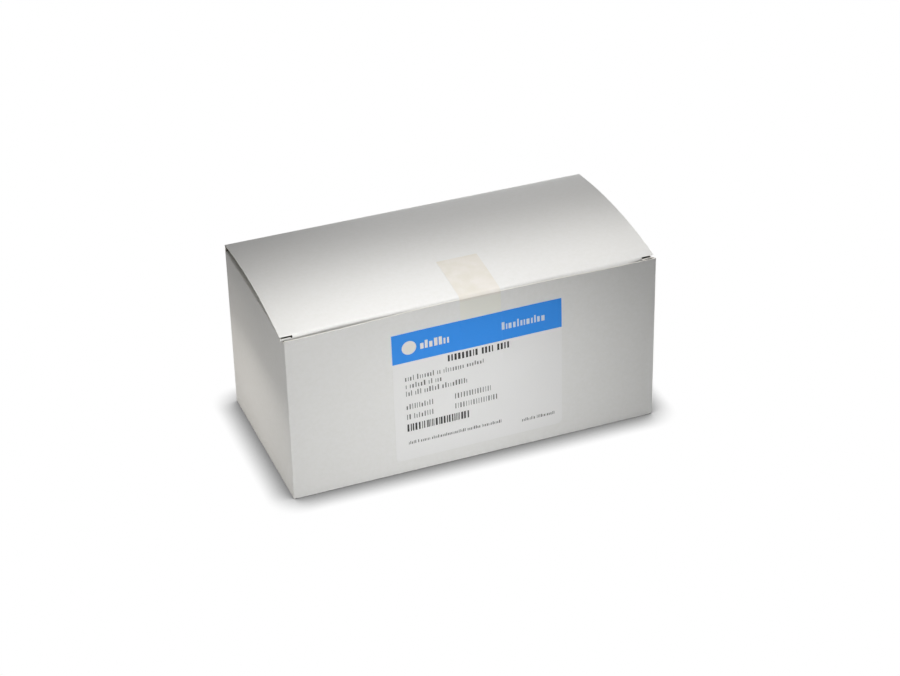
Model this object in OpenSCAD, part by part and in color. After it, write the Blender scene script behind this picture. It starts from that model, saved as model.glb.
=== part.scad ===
// Sealed carton of folded filter papers: a tuck-top folding carton with a snap-lock base,
// shut with one strip of tape and marked with a self-adhesive label.
// The carton is one folded blank around its packed papers, so it is one solid: the panels, the
// arched lid, the tuck flap, the dust flaps and the base flaps are boards of true thickness, and
// the papers fill what nobody can see into.
// Frame: +X to the right, +Y to the back, +Z up; the origin is the centre of the whole
// object's box, on the surface that it stands on.

/* [Carton] */
// Width of the carton, left to right
carton_w = 227; // [190:1:260]
// Depth of the carton, front to back
carton_d = 111.5; // [96:0.5:130]
// Height of the front panel's cut top edge
carton_h = 108.5; // [90:0.5:130]
// Thickness of the boxboard
board_t = 0.5; // [0.4:0.05:0.7]
// Outer radius of the creases between the panels
crease_r = 0.8; // [0.8:0.1:1.5]
// Width of the groove where the glued side seam's cut edge stops short of the corner
seam_gap = 0.8; // [0.4:0.1:1.5]

/* [Lid] */
// Height of the lid's hinge crease above the front panel's cut edge
hinge_lift = 0.8; // [0.2:0.1:1.5]
// Height of the lid's front crease above the front panel's cut edge
lid_lift = 1.5; // [0.6:0.1:2]
// Rise of the arched lid above the chord between its two creases
lid_rise = 4; // [2:0.25:7]
// Outer radius of the lid's rolled front crease
roll_r = 1.8; // [1.2:0.1:2.4]
// Overhang of the lid past the carton's left end
lid_overhang = 0.8; // [0.2:0.1:2]
// Set-back of the lid's right edge from the carton's right end
lid_setback = 0.3; // [0:0.1:1.5]

/* [Tuck flap] */
// Gap between the front panel and the tuck flap behind it
tuck_gap = 1.5; // [0.8:0.1:2.5]
// Length of the tuck flap below the front panel's cut edge
tuck_l = 20; // [14:1:30]
// Slope of the tuck flap's sides, from its shoulders to its free edge
tuck_taper = 3; // [1:0.5:6]
// Radius of the tuck flap's free corners
tuck_corner_r = 10; // [5:1:14]
// Length of the slit lock at each end of the lid's front crease
slit_l = 7.5; // [5:0.5:12]
// Opening of the slit, between the lid's cut edge and the tuck flap's shoulder
slit_gap = 0.7; // [0.3:0.1:0.8]

/* [Dust flaps] */
// Height of the front panel's cut edge above the folded dust flaps
dust_drop = 2; // [1.2:0.1:4]
// Length of a dust flap, from the end panel to its free edge
dust_l = 50; // [35:1:65]
// Relief cut between a dust flap's hinge and the front corner
dust_front_relief = 4; // [3:0.5:8]
// Relief cut between a dust flap's hinge and the back corner
dust_back_relief = 2; // [1.5:0.5:6]
// Bevel of a dust flap's free corners
dust_bevel = 14; // [6:1:20]

/* [Base flaps] */
// Reach of the outer base flap's shoulders, from the front
shoulder_reach = 52; // [40:1:60]
// Reach of the outer base flap where its tongue dives into the lock
lock_reach = 60; // [45:1:70]
// Width of the lock tongue
lock_w = 112; // [80:1:140]
// Inward slope of the outer base flap's sides
shoulder_taper = 4; // [0:0.5:10]
// Length of the base's two end flaps
end_flap_l = 54; // [40:1:65]
// Distance from the back, along the hinge, at which an end flap's slanting edge starts
end_flap_relief = 6; // [3:0.5:12]

/* [Tape] */
// Width of the tape
tape_w = 25; // [15:1:40]
// Thickness of the tape
tape_t = 0.1; // [0.05:0.01:0.2]
// Distance of the tape's middle to the right of the carton's middle
tape_x = 4; // [-10:0.5:15]
// Reach of the tape over the lid, back from the front panel
tape_on_lid = 38; // [20:1:60]
// Reach of the tape down the front panel, below its cut edge
tape_on_front = 44; // [20:1:60]
// Number of teeth that the dispenser's blade left across the tape's ends
tape_teeth = 20; // [10:1:30]
// Height of those teeth
tooth_h = 0.6; // [0.2:0.1:1]

/* [Label] */
// Width of the label
label_w = 104.5; // [80:1:130]
// Height of the label
label_h = 86; // [60:1:90]
// Thickness of the label
label_t = 0.15; // [0.08:0.01:0.3]
// Distance of the label's middle to the right of the carton's middle
label_x = 1.8; // [-20:0.1:20]
// Height of the label's middle
label_z = 52; // [46:0.5:60]
// Radius of the label's lower corners
label_corner_r = 3; // [1:0.5:6]
// Turn of the label, anticlockwise as read, in degrees
label_turn = 0.3; // [-2:0.1:2]
// Distance from the tape's edge at which the label lies flat on the board again
label_drape = 0.5; // [0.2:0.1:1.5]

/* [Hidden] */
$fn = 96;
arch_fn = 720;
white_board = [0.93, 0.93, 0.92];
cream_tape = [0.88, 0.86, 0.79];
white_paper = [0.95, 0.95, 0.96];

// The boards that are fused overlap by half a thickness
bite = board_t / 2;
half_w = carton_w / 2;
half_d = carton_d / 2;
lid_left = -half_w - lid_overhang;
lid_right = half_w - lid_setback;
dust_z = carton_h - dust_drop;
tuck_y = board_t + tuck_gap;
tuck_foot = carton_h - tuck_l;
// Where the right end panel's cut edge stops, from the front
seam_y = carton_d - crease_r - seam_gap;
// Height below which the walls belong to the base
base_deep = 4 * crease_r;
skin_t = label_t + tape_t;
// How far a cut runs past the face that it opens
clear = 1;
// What brings the middle of the object's box to the origin
frame_shift = [lid_overhang / 2, skin_t / 2, 0];

// The lid's section, in a plane of (distance from the front panel's face, height): one arc
// that meets the rolled front crease and the hinge crease without a corner
roll_c = [tuck_y + roll_r, carton_h + lid_lift - roll_r];
hinge_c = [carton_d - crease_r, carton_h + hinge_lift - crease_r];
chord = norm(hinge_c - roll_c);
arch_r = (chord * chord / 4 + lid_rise * lid_rise) / (2 * lid_rise) + (roll_r + crease_r) / 2;
arch_c = arch_centre(roll_c, arch_r - roll_r, hinge_c, arch_r - crease_r);
// Heights that no part of the arch reaches, and the tuck flap's shoulders under the slits
above_lid = carton_h + lid_lift + lid_rise + crease_r;
shoulder_z = arch_height(tuck_y, arch_r - board_t) - slit_gap;

// The point below the line a-b that is dist_a from a and dist_b from b
function arch_centre(a, dist_a, b, dist_b) =
    let (gap = norm(b - a), u = (b - a) / gap,
         along = (dist_a * dist_a - dist_b * dist_b + gap * gap) / (2 * gap),
         down = sqrt(dist_a * dist_a - along * along))
    a + along * u + down * [u[1], -u[0]];

// Height of an arc of radius r about the arch's centre, at a distance y from the front
function arch_height(y, r) = arch_c[1] + sqrt(r * r - (y - arch_c[0]) * (y - arch_c[0]));

// Extrudes a section of (distance from the front, height) along X
module along_x(from, to) {
    translate([from, -half_d, 0]) rotate([90, 0, 90]) linear_extrude(to - from) children();
}

// Extrudes a section of (x, height) along Y, from and to measured from the front
module along_y(from, to) {
    translate([0, to - half_d, 0]) rotate([90, 0, 0]) linear_extrude(to - from) children();
}

// Extrudes a plan of (x, distance from the front) upwards
module upwards(from, to) {
    translate([0, -half_d, from]) linear_extrude(to - from) children();
}

module box_plan(x0, y0, x1, y1) {
    translate([x0, y0]) square([x1 - x0, y1 - y0]);
}

// A rectangle with four round corners
module round_plan(x0, y0, x1, y1, r) {
    box_plan(x0 + r, y0, x1 - r, y1);
    box_plan(x0, y0 + r, x1, y1 - r);
    for (x = [x0 + r, x1 - r], y = [y0 + r, y1 - r]) translate([x, y]) circle(r);
}

// A rectangle whose two lower corners are round
module round_foot(x0, z0, x1, z1, r) {
    box_plan(x0 + r, z0, x1 - r, z1);
    box_plan(x0, z0 + r, x1, z1);
    for (x = [x0 + r, x1 - r]) translate([x, z0 + r]) circle(r);
}

// --- The sleeve: four panels round the pack, glued at the back right corner ---

// The right end panel's cut edge lies over the glue flap, one board further in
module seam_corner() {
    box_plan(half_w - board_t, seam_y, half_w + clear, carton_d + clear);
    translate([half_w - board_t - crease_r, carton_d - crease_r]) difference() {
        square(2 * crease_r);
        circle(crease_r);
    }
}

module sleeve_plan() {
    difference() {
        round_plan(-half_w, 0, half_w, carton_d, crease_r);
        round_plan(-half_w + board_t, board_t, half_w - board_t, carton_d - board_t,
            crease_r - board_t);
        seam_corner();
    }
    glue_flap_plan();
}

// The glue flap and its crease, inside the right end panel
module glue_flap_plan() {
    crease_c = [half_w - board_t - crease_r, carton_d - crease_r];
    box_plan(half_w - 2 * board_t, seam_y - crease_r, half_w - board_t, crease_c[1]);
    translate(crease_c) intersection() {
        difference() {
            circle(crease_r);
            circle(crease_r - board_t);
        }
        square(2 * crease_r);
    }
}

module sleeve() {
    upwards(crease_r, dust_z - crease_r) sleeve_plan();
    // The front panel and its two corner creases stand up to the cut edge
    upwards(crease_r, carton_h) intersection() {
        sleeve_plan();
        box_plan(-half_w, 0, half_w, crease_r);
    }
    // The back panel stands up to the lid's hinge
    upwards(crease_r, hinge_c[1]) intersection() {
        sleeve_plan();
        box_plan(-half_w, carton_d - crease_r, half_w, carton_d);
    }
}

// --- The lid: hinge crease, arch, rolled front crease and tuck flap in one sheet ---

// All that lies under the lid's outer face, drawn in by inset
module arch_section(inset) {
    polygon([[tuck_y + inset, tuck_foot], [tuck_y + inset, roll_c[1]], roll_c, hinge_c,
        [carton_d - inset, hinge_c[1]], [carton_d - inset, tuck_foot]]);
    translate(roll_c) circle(roll_r - inset);
    translate(hinge_c) circle(crease_r - inset);
    intersection() {
        translate(arch_c) circle(arch_r - inset, $fn = arch_fn);
        arch_wedge(roll_c, hinge_c);
    }
}

// The part of the plane seen from the arch's centre between two points
module arch_wedge(a, b) {
    reach = 1.2;
    polygon([arch_c, arch_c + reach * (a - arch_c), arch_c + reach * (b - arch_c)]);
}

// Lid, rolled crease and tuck flap, between the slits
module lid_section() {
    difference() {
        arch_section(0);
        arch_section(board_t);
        box_plan(carton_d / 2, 0, carton_d, hinge_c[1] - crease_r);
    }
}

// Beyond the slits the lid runs on to its cut edge, clear of the tuck flap's shoulder
module lid_end_section() {
    difference() {
        intersection() {
            translate(arch_c) circle(arch_r, $fn = arch_fn);
            box_plan(tuck_y, roll_c[1], hinge_c[0], above_lid);
        }
        translate(arch_c) circle(arch_r - board_t, $fn = arch_fn);
    }
    intersection() {
        lid_section();
        box_plan(hinge_c[0] - bite, 0, carton_d, above_lid);
    }
    box_plan(tuck_y, dust_z - board_t, tuck_y + board_t, shoulder_z);
}

module lid() {
    along_x(lid_left + slit_l, lid_right - slit_l) lid_section();
    along_x(lid_left, lid_left + slit_l) lid_end_section();
    along_x(lid_right - slit_l, lid_right) lid_end_section();
}

// Outline of the tuck flap below the front panel's cut edge, in a plane of (x, height)
module tuck_outline() {
    left = max(lid_left, -half_w + board_t);
    right = min(lid_right, half_w - board_t);
    top = carton_h + lid_lift;
    intersection() {
        polygon([[left, top], [left, dust_z], [left + tuck_taper, tuck_foot],
            [right - tuck_taper, tuck_foot], [right, dust_z], [right, top]]);
        round_foot(left + tuck_taper / 2, tuck_foot, right - tuck_taper / 2, top,
            tuck_corner_r);
    }
}

// --- The dust flaps, folded in under the lid ---

// Section of the left dust flap across its hinge, in a plane of (x, height)
module dust_section() {
    foot = dust_z - 2 * crease_r;
    hinge = [crease_r, dust_z - crease_r];
    translate([-half_w, 0]) {
        box_plan(0, foot, board_t, hinge[1]);
        translate(hinge) intersection() {
            difference() {
                circle(crease_r);
                circle(crease_r - board_t);
            }
            translate([-2 * crease_r, 0]) square(2 * crease_r);
        }
        box_plan(hinge[0], dust_z - board_t, dust_l, dust_z);
    }
}

// Plan of the left dust flap, in a plane of (x, distance from the front)
module dust_plan() {
    front = dust_front_relief;
    back = carton_d - dust_back_relief;
    translate([-half_w, 0]) polygon([[0, front], [0, back], [dust_l - dust_bevel, back],
        [dust_l, back - dust_bevel], [dust_l, front + dust_bevel],
        [dust_l - dust_bevel, front]]);
}

module dust_flap() {
    intersection() {
        along_y(0, carton_d) dust_section();
        upwards(0, carton_h) dust_plan();
    }
}

// --- The snap-lock base ---

// The outer flap, hinged on the front panel; its tongue dives behind the inner flap
module outer_base_flap() {
    side = half_w - crease_r;
    polygon([[-side, 0], [side, 0], [side - shoulder_taper, shoulder_reach],
        [lock_w / 2, shoulder_reach], [lock_w / 2, lock_reach], [-lock_w / 2, lock_reach],
        [-lock_w / 2, shoulder_reach], [-side + shoulder_taper, shoulder_reach]]);
}

// An end flap, hinged on the left end panel, with the slanting edge that clears the inner flap
module end_base_flap() {
    slant_top = carton_d - end_flap_relief;
    translate([-half_w, 0]) polygon([[0, crease_r], [end_flap_l, crease_r],
        [end_flap_l, slant_top - end_flap_l], [0, slant_top]]);
}

module base() {
    rim = crease_r + board_t;
    difference() {
        intersection() {
            along_x(-half_w, half_w) round_foot(0, 0, carton_d, base_deep, crease_r);
            along_y(0, carton_d) round_foot(-half_w, 0, half_w, base_deep, crease_r);
            upwards(0, base_deep) sleeve_outline();
        }
        // What the outer flap leaves bare lies one board higher
        upwards(-clear, board_t) difference() {
            box_plan(-half_w + rim, rim, half_w - rim, carton_d - rim);
            outer_base_flap();
        }
        // The inner flap, hinged on the back panel, lies two boards higher
        upwards(-clear, 2 * board_t) difference() {
            box_plan(-half_w + rim, rim, half_w - rim, carton_d - rim);
            outer_base_flap();
            end_base_flap();
            mirror([1, 0]) end_base_flap();
        }
        // The flaps are cut apart at the four corners
        for (x = [-half_w, half_w - crease_r], y = [0, carton_d - crease_r])
            upwards(-clear, crease_r) box_plan(x, y, x + crease_r, y + crease_r);
    }
}

module sleeve_outline() {
    difference() {
        round_plan(-half_w, 0, half_w, carton_d, crease_r);
        seam_corner();
    }
}

// --- The packed papers: what fills the closed carton ---

module packed_papers() {
    difference() {
        union() {
            upwards(2 * crease_r, dust_z - bite) {
                box_plan(-half_w + bite, bite, half_w - bite, seam_y - bite);
                box_plan(-half_w + bite, bite, half_w - board_t - bite, carton_d - bite);
            }
            // Between the dust flaps the papers bear on the lid
            intersection() {
                along_x(-half_w + dust_l - bite, half_w - dust_l + bite) arch_section(bite);
                upwards(dust_z - board_t, above_lid)
                    box_plan(-half_w, tuck_y + bite, half_w, carton_d);
            }
        }
        // The gap that the tuck flap keeps behind the front panel
        along_y(board_t, tuck_y) tuck_outline();
    }
}

// --- The three pieces ---

module carton() {
    color(white_board) translate(frame_shift) {
        sleeve();
        lid();
        dust_flap();
        mirror([1, 0, 0]) dust_flap();
        base();
        packed_papers();
    }
}

// What lies under the tape, in a plane of (distance from the front, height), with its face moved
// out by lift: the lid's arch, the rolled crease, a straight line across the gap to the front
// panel's cut edge, and the panel
module tape_backing(lift) {
    edge = [0, carton_h];
    to_roll = roll_c - edge;
    bridge_slope = atan2(to_roll[1], to_roll[0]) + asin(roll_r / norm(to_roll));
    from_arch = (roll_c - arch_c) / norm(roll_c - arch_c);
    from_bridge = [-sin(bridge_slope), cos(bridge_slope)];
    reach = 2 * roll_r;
    difference() {
        intersection() {
            translate(arch_c) circle(arch_r + lift, $fn = arch_fn);
            translate(edge) rotate(bridge_slope)
                translate([-carton_d, -2 * arch_r]) square([3 * carton_d, 2 * arch_r + lift]);
            translate([-lift, 0]) square([carton_d, 2 * carton_h]);
        }
        // The rolled crease rounds the corner between the arch and the straight line
        translate(roll_c) difference() {
            polygon([[0, 0], reach * from_arch, reach * (from_arch + from_bridge),
                reach * from_bridge]);
            circle(roll_r + lift);
        }
    }
}

module tape_section() {
    intersection() {
        difference() {
            tape_backing(tape_t);
            tape_backing(0);
        }
        box_plan(-clear, carton_h - tape_on_front - tooth_h, tape_on_lid + tooth_h,
            above_lid);
    }
}

// The tape's outline, laid out flat: reach is measured from the middle of the strip
module toothed_strip(low, high) {
    pitch = tape_w / tape_teeth;
    tips = [for (i = [0:2 * tape_teeth]) [i * pitch / 2, i % 2 == 0 ? 0 : tooth_h]];
    polygon(concat([for (p = tips) [p[0], high + p[1]]],
        [for (i = [2 * tape_teeth:-1:0]) [tips[i][0], low - tips[i][1]]]));
}

module closure_tape() {
    left = tape_x - tape_w / 2;
    color(cream_tape) translate(frame_shift) {
        intersection() {
            along_x(left, left + tape_w) tape_section();
            union() {
                // The lid's end, toothed in plan
                upwards(carton_h, above_lid) translate([left, 0])
                    toothed_strip(-clear, tape_on_lid);
                // The front's end, toothed in elevation
                along_y(-clear, tape_t) translate([left, 0])
                    toothed_strip(carton_h - tape_on_front, carton_h + clear);
            }
        }
    }
}

module label_outline() {
    translate([label_x, label_z]) rotate(label_turn) difference() {
        translate([-label_w / 2, -label_h / 2]) square([label_w, label_h]);
        for (side = [0, 1]) mirror([side, 0])
            translate([label_w / 2 - label_corner_r, -label_h / 2 + label_corner_r])
                difference() {
                    translate([0, -2 * label_corner_r]) square(2 * label_corner_r);
                    circle(label_corner_r);
                }
    }
}

// The label lies on the front panel, and rises over the tape that it covers
module label() {
    left = tape_x - tape_w / 2;
    tape_end = carton_h - tape_on_front - tooth_h;
    color(white_paper) translate(frame_shift) difference() {
        union() {
            along_y(-label_t, 0) label_outline();
            along_y(-skin_t, 0) intersection() {
                label_outline();
                box_plan(left - label_drape, tape_end - label_drape,
                    left + tape_w + label_drape, carton_h);
            }
        }
        along_y(-tape_t, clear) translate([left, 0])
            toothed_strip(carton_h - tape_on_front, carton_h + clear);
    }
}

carton();
closure_tape();
label();
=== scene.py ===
"""Dresses the sealed carton of folded filter papers.

The carton is one folded blank of coated white boxboard: a glued sleeve, an arched lid that is
tucked in behind the front panel, two dust flaps and a snap-lock base. A strip of cream packing
tape holds the lid down and pulls the middle of the front panel in. A printed paper label covers
the tape's lower end.

Carton places are (x from the left end, y from the front panel, z from the base), in metres.
"""

import logging
import math
from dataclasses import dataclass, field
from enum import Enum
from typing import Any

import bmesh
import bpy
import numpy as np
from mathutils import Euler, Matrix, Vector


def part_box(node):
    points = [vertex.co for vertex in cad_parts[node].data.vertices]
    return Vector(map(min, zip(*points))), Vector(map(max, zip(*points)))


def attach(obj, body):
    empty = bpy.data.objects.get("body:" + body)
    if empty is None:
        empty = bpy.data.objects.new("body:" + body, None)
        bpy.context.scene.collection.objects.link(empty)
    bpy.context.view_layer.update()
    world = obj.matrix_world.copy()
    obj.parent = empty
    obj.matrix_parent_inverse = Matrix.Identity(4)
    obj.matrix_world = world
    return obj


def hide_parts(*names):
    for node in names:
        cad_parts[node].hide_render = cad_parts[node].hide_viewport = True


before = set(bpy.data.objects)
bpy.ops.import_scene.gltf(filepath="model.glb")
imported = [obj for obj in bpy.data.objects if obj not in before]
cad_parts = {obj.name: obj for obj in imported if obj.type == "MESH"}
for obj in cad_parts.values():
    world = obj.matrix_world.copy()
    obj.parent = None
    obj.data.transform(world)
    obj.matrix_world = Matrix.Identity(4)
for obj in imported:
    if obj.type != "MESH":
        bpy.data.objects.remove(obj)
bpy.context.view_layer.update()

MM = 0.001
# By how much arithmetic may move a number that ought to equal another
ROUNDING = 1e-9
# Points of a sheet closer than this are one point
SAME_POINT = 0.002 * MM
# The sockets of a Mix node that mixes colours: what it mixes, and what it gives
FIRST_COLOUR = 6
SECOND_COLOUR = 7
MIXED = 2
log = logging.getLogger("carton")


# --- Small helpers ---


def linear(hex_colour: str) -> tuple[float, float, float, float]:
    """Turns an sRGB hex colour into the linear colour that shaders take.

    Args:
        hex_colour: Six hex digits after a hash sign, such as "#EFEFED".

    Returns:
        Red, green and blue in linear light, and an alpha of 1.
    """
    channels = [int(hex_colour[i : i + 2], 16) / 255 for i in (1, 3, 5)]
    red, green, blue = [
        c / 12.92 if c <= 0.04045 else ((c + 0.055) / 1.055) ** 2.4 for c in channels
    ]
    return red, green, blue, 1.0


def add_node(
    tree: bpy.types.NodeTree,
    kind: str,
    settings: dict[str, Any] | None = None,
    links: dict[int | str, Any] | None = None,
) -> bpy.types.Node:
    """Adds a node to a tree.

    Args:
        tree: The shader or geometry tree.
        kind: The node's type name.
        settings: The node's own properties.
        links: For each input, by name or number, the socket that feeds it or its value.

    Returns:
        The new node.
    """
    node = tree.nodes.new(kind)
    for name, value in (settings or {}).items():
        setattr(node, name, value)
    for key, source in (links or {}).items():
        if isinstance(source, bpy.types.NodeSocket):
            tree.links.new(source, node.inputs[key])
        else:
            node.inputs[key].default_value = source
    return node


def smooth(value: np.ndarray | float) -> np.ndarray | float:
    """Rises from 0 to 1 as the value does, with no corner at either end."""
    t = np.clip(value, 0.0, 1.0)
    return t * t * (3 - 2 * t)


def divide(stops: list[float], pitch: float) -> np.ndarray:
    """Divides a line evenly between stops, which all stay in the result.

    Args:
        stops: Places along the line, in rising order.
        pitch: The widest step allowed between two places.

    Returns:
        The places, from the first stop to the last.
    """
    places = [np.array(stops[:1])]
    for start, end in zip(stops, stops[1:]):
        count = max(1, math.ceil((end - start) / pitch - ROUNDING))
        places.append(np.linspace(start, end, count + 1)[1:])
    return np.concatenate(places)


def within(places: np.ndarray, low: float = -math.inf, high: float = math.inf) -> np.ndarray:
    """Picks the places from low to high, both ends included."""
    return places[(places > low - ROUNDING) & (places < high + ROUNDING)]


def arc(centre: np.ndarray, radius: float, start: float, end: float, steps: int) -> np.ndarray:
    """Points along an arc in a plane.

    Args:
        centre: The arc's centre.
        radius: The arc's radius.
        start: The first point's angle in radians.
        end: The last point's angle in radians.
        steps: How many chords the arc has.

    Returns:
        An array of steps + 1 points with two coordinates each.
    """
    angles = np.linspace(start, end, steps + 1)
    return np.stack([centre[0] + radius * np.cos(angles), centre[1] + radius * np.sin(angles)], 1)


# --- Finishes ---


def start_finish(name: str) -> tuple[bpy.types.Material, bpy.types.NodeSocket]:
    """Starts a finish.

    Args:
        name: The material's name.

    Returns:
        The material, and the socket that holds the place on the piece.
    """
    material = bpy.data.materials.new(name)
    material.use_nodes = True
    place = add_node(material.node_tree, "ShaderNodeTexCoord").outputs["Object"]
    return material, place


def coat(
    material: bpy.types.Material,
    tone: bpy.types.NodeSocket,
    relief: bpy.types.NodeSocket,
    depth: float,
    roughness: float,
    ior: float | None = None,
) -> bpy.types.Material:
    """Gives a finish its tone, its relief and its sheen.

    Args:
        material: The finish.
        tone: The socket that holds its colour.
        relief: The socket that holds the surface's height, from 0 to 1.
        depth: How high the relief stands.
        roughness: How matt the finish is.
        ior: Its index of refraction, or None to keep the shader's own.

    Returns:
        The material.
    """
    tree = material.node_tree
    shader = tree.nodes["Principled BSDF"]
    bump = add_node(tree, "ShaderNodeBump", links={"Distance": depth, "Height": relief})
    tree.links.new(tone, shader.inputs["Base Color"])
    tree.links.new(bump.outputs["Normal"], shader.inputs["Normal"])
    shader.inputs["Roughness"].default_value = roughness
    if ior is not None:
        shader.inputs["IOR"].default_value = ior
    return material


@dataclass(frozen=True)
class CoatedBoard:
    """Clay-coated white folding boxboard, calendered: a matt white with faint fibre clouds."""

    name: str = "coated_boxboard"
    colour: str = "#EFEFEE"
    cloud: str = "#ECECEA"
    roughness: float = 0.55
    ior: float = 1.5
    cloud_size: float = 2.2 * MM
    # Between these two levels of its noise the board turns from cloud to clear
    cloud_levels: tuple[float, float] = (0.3, 0.7)
    grain_size: float = 0.35 * MM
    grain_height: float = 0.003 * MM

    def material(self) -> bpy.types.Material:
        """Builds the coated board's material.

        Returns:
            The material.
        """
        material, place = start_finish(self.name)
        tree = material.node_tree
        # Fibre clouds: the sheet's formation shows faintly through the coating
        clouds = add_node(
            tree,
            "ShaderNodeTexNoise",
            links={"Vector": place, "Scale": 1 / self.cloud_size, "Detail": 4.0},
        )
        spread = add_node(
            tree,
            "ShaderNodeMapRange",
            links={
                "Value": clouds.outputs["Fac"],
                "From Min": self.cloud_levels[0],
                "From Max": self.cloud_levels[1],
            },
        )
        tone = add_node(
            tree,
            "ShaderNodeMix",
            {"data_type": "RGBA"},
            {
                0: spread.outputs["Result"],
                FIRST_COLOUR: linear(self.cloud),
                SECOND_COLOUR: linear(self.colour),
            },
        )
        # The coating's fine grain is drawn coarser than it is, so that it shows
        grain = add_node(
            tree,
            "ShaderNodeTexNoise",
            links={"Vector": place, "Scale": 1 / self.grain_size, "Detail": 2.0},
        )
        relief = grain.outputs["Fac"]
        return coat(
            material, tone.outputs[MIXED], relief, self.grain_height, self.roughness, self.ior
        )


@dataclass(frozen=True)
class RawBoard:
    """Boxboard where it has no coating: its cut edges and its inner face, soft and fibrous."""

    name: str
    colour: str
    fibre: str
    roughness: float = 0.92
    fibre_size: float = 0.5 * MM
    fibre_stretch: float = 6.0
    fibre_height: float = 0.03 * MM

    def material(self) -> bpy.types.Material:
        """Builds the raw board's material, with the plies drawn out along the sheet.

        Returns:
            The material.
        """
        material, place = start_finish(self.name)
        tree = material.node_tree
        plies = add_node(
            tree,
            "ShaderNodeMapping",
            links={"Vector": place, "Scale": (1.0, 1.0, self.fibre_stretch)},
        )
        fibres = add_node(
            tree,
            "ShaderNodeTexNoise",
            links={"Vector": plies.outputs["Vector"], "Scale": 1 / self.fibre_size, "Detail": 5.0},
        )
        tone = add_node(
            tree,
            "ShaderNodeMix",
            {"data_type": "RGBA"},
            {
                0: fibres.outputs["Fac"],
                FIRST_COLOUR: linear(self.fibre),
                SECOND_COLOUR: linear(self.colour),
            },
        )
        relief = fibres.outputs["Fac"]
        return coat(material, tone.outputs[MIXED], relief, self.fibre_height, self.roughness)


@dataclass(frozen=True)
class PackingTape:
    """Cream packing tape, satin: a milky film whose glue has wetted the board in patches.

    It is painted whiter below the crease: a painted sheen on the front face.
    """

    crease_z: float
    name: str = "cream_packing_tape"
    wetted: str = "#E7E3D9"
    dry: str = "#EDE9E3"
    # Painted sheen: the lighter tone given to the strip's front face, below the crease
    painted_sheen: str = "#EFEFE7"
    roughness: float = 0.42
    ior: float = 1.48
    patch_size: float = 9 * MM
    # Between these two levels of its noise the tape turns from wetted to dry
    patch_levels: tuple[float, float] = (0.3, 0.7)
    # Length over which the painted sheen sets in below the crease
    fade: float = 1.5 * MM
    ripple_size: float = 1.6 * MM
    ripple_height: float = 0.015 * MM

    def material(self) -> bpy.types.Material:
        """Builds the tape's material.

        Returns:
            The material.
        """
        material, place = start_finish(self.name)
        tree = material.node_tree
        patches = add_node(
            tree,
            "ShaderNodeTexNoise",
            links={"Vector": place, "Scale": 1 / self.patch_size, "Detail": 3.0},
        )
        contrast = add_node(
            tree,
            "ShaderNodeMapRange",
            {"interpolation_type": "SMOOTHSTEP"},
            {
                "Value": patches.outputs["Fac"],
                "From Min": self.patch_levels[0],
                "From Max": self.patch_levels[1],
            },
        )
        tone = add_node(
            tree,
            "ShaderNodeMix",
            {"data_type": "RGBA"},
            {
                0: contrast.outputs["Result"],
                FIRST_COLOUR: linear(self.wetted),
                SECOND_COLOUR: linear(self.dry),
            },
        )
        # Below the crease the whole strip has a lighter tone: painted sheen on the front face
        up = add_node(tree, "ShaderNodeSeparateXYZ", links={"Vector": place}).outputs["Z"]
        painted_sheen_share = add_node(
            tree,
            "ShaderNodeMapRange",
            links={"Value": up, "From Min": self.crease_z, "From Max": self.crease_z - self.fade},
        )
        placed_tone = add_node(
            tree,
            "ShaderNodeMix",
            {"data_type": "RGBA"},
            {
                0: painted_sheen_share.outputs["Result"],
                FIRST_COLOUR: tone.outputs[MIXED],
                SECOND_COLOUR: linear(self.painted_sheen),
            },
        )
        ripples = add_node(
            tree,
            "ShaderNodeTexNoise",
            links={"Vector": place, "Scale": 1 / self.ripple_size, "Detail": 2.0},
        )
        relief = ripples.outputs["Fac"]
        return coat(
            material,
            placed_tone.outputs[MIXED],
            relief,
            self.ripple_height,
            self.roughness,
            self.ior,
        )


@dataclass(frozen=True)
class LabelStock:
    """Self-adhesive label paper, machine finished, or the flat ink printed on it."""

    name: str
    colour: str
    roughness: float = 0.6
    tone_depth: float = 0.03
    fibre_size: float = 0.8 * MM
    fibre_height: float = 0.004 * MM

    def material(self) -> bpy.types.Material:
        """Builds the paper's or the ink's material.

        Returns:
            The material.
        """
        material, place = start_finish(self.name)
        tree = material.node_tree
        fibres = add_node(
            tree,
            "ShaderNodeTexNoise",
            links={"Vector": place, "Scale": 1 / self.fibre_size, "Detail": 4.0},
        )
        red, green, blue, _ = linear(self.colour)
        shade = 1 - self.tone_depth
        tone = add_node(
            tree,
            "ShaderNodeMix",
            {"data_type": "RGBA"},
            {
                0: fibres.outputs["Fac"],
                FIRST_COLOUR: (red * shade, green * shade, blue * shade, 1.0),
                SECOND_COLOUR: (red, green, blue, 1.0),
            },
        )
        relief = fibres.outputs["Fac"]
        return coat(material, tone.outputs[MIXED], relief, self.fibre_height, self.roughness)


# --- Meshes ---


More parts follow.
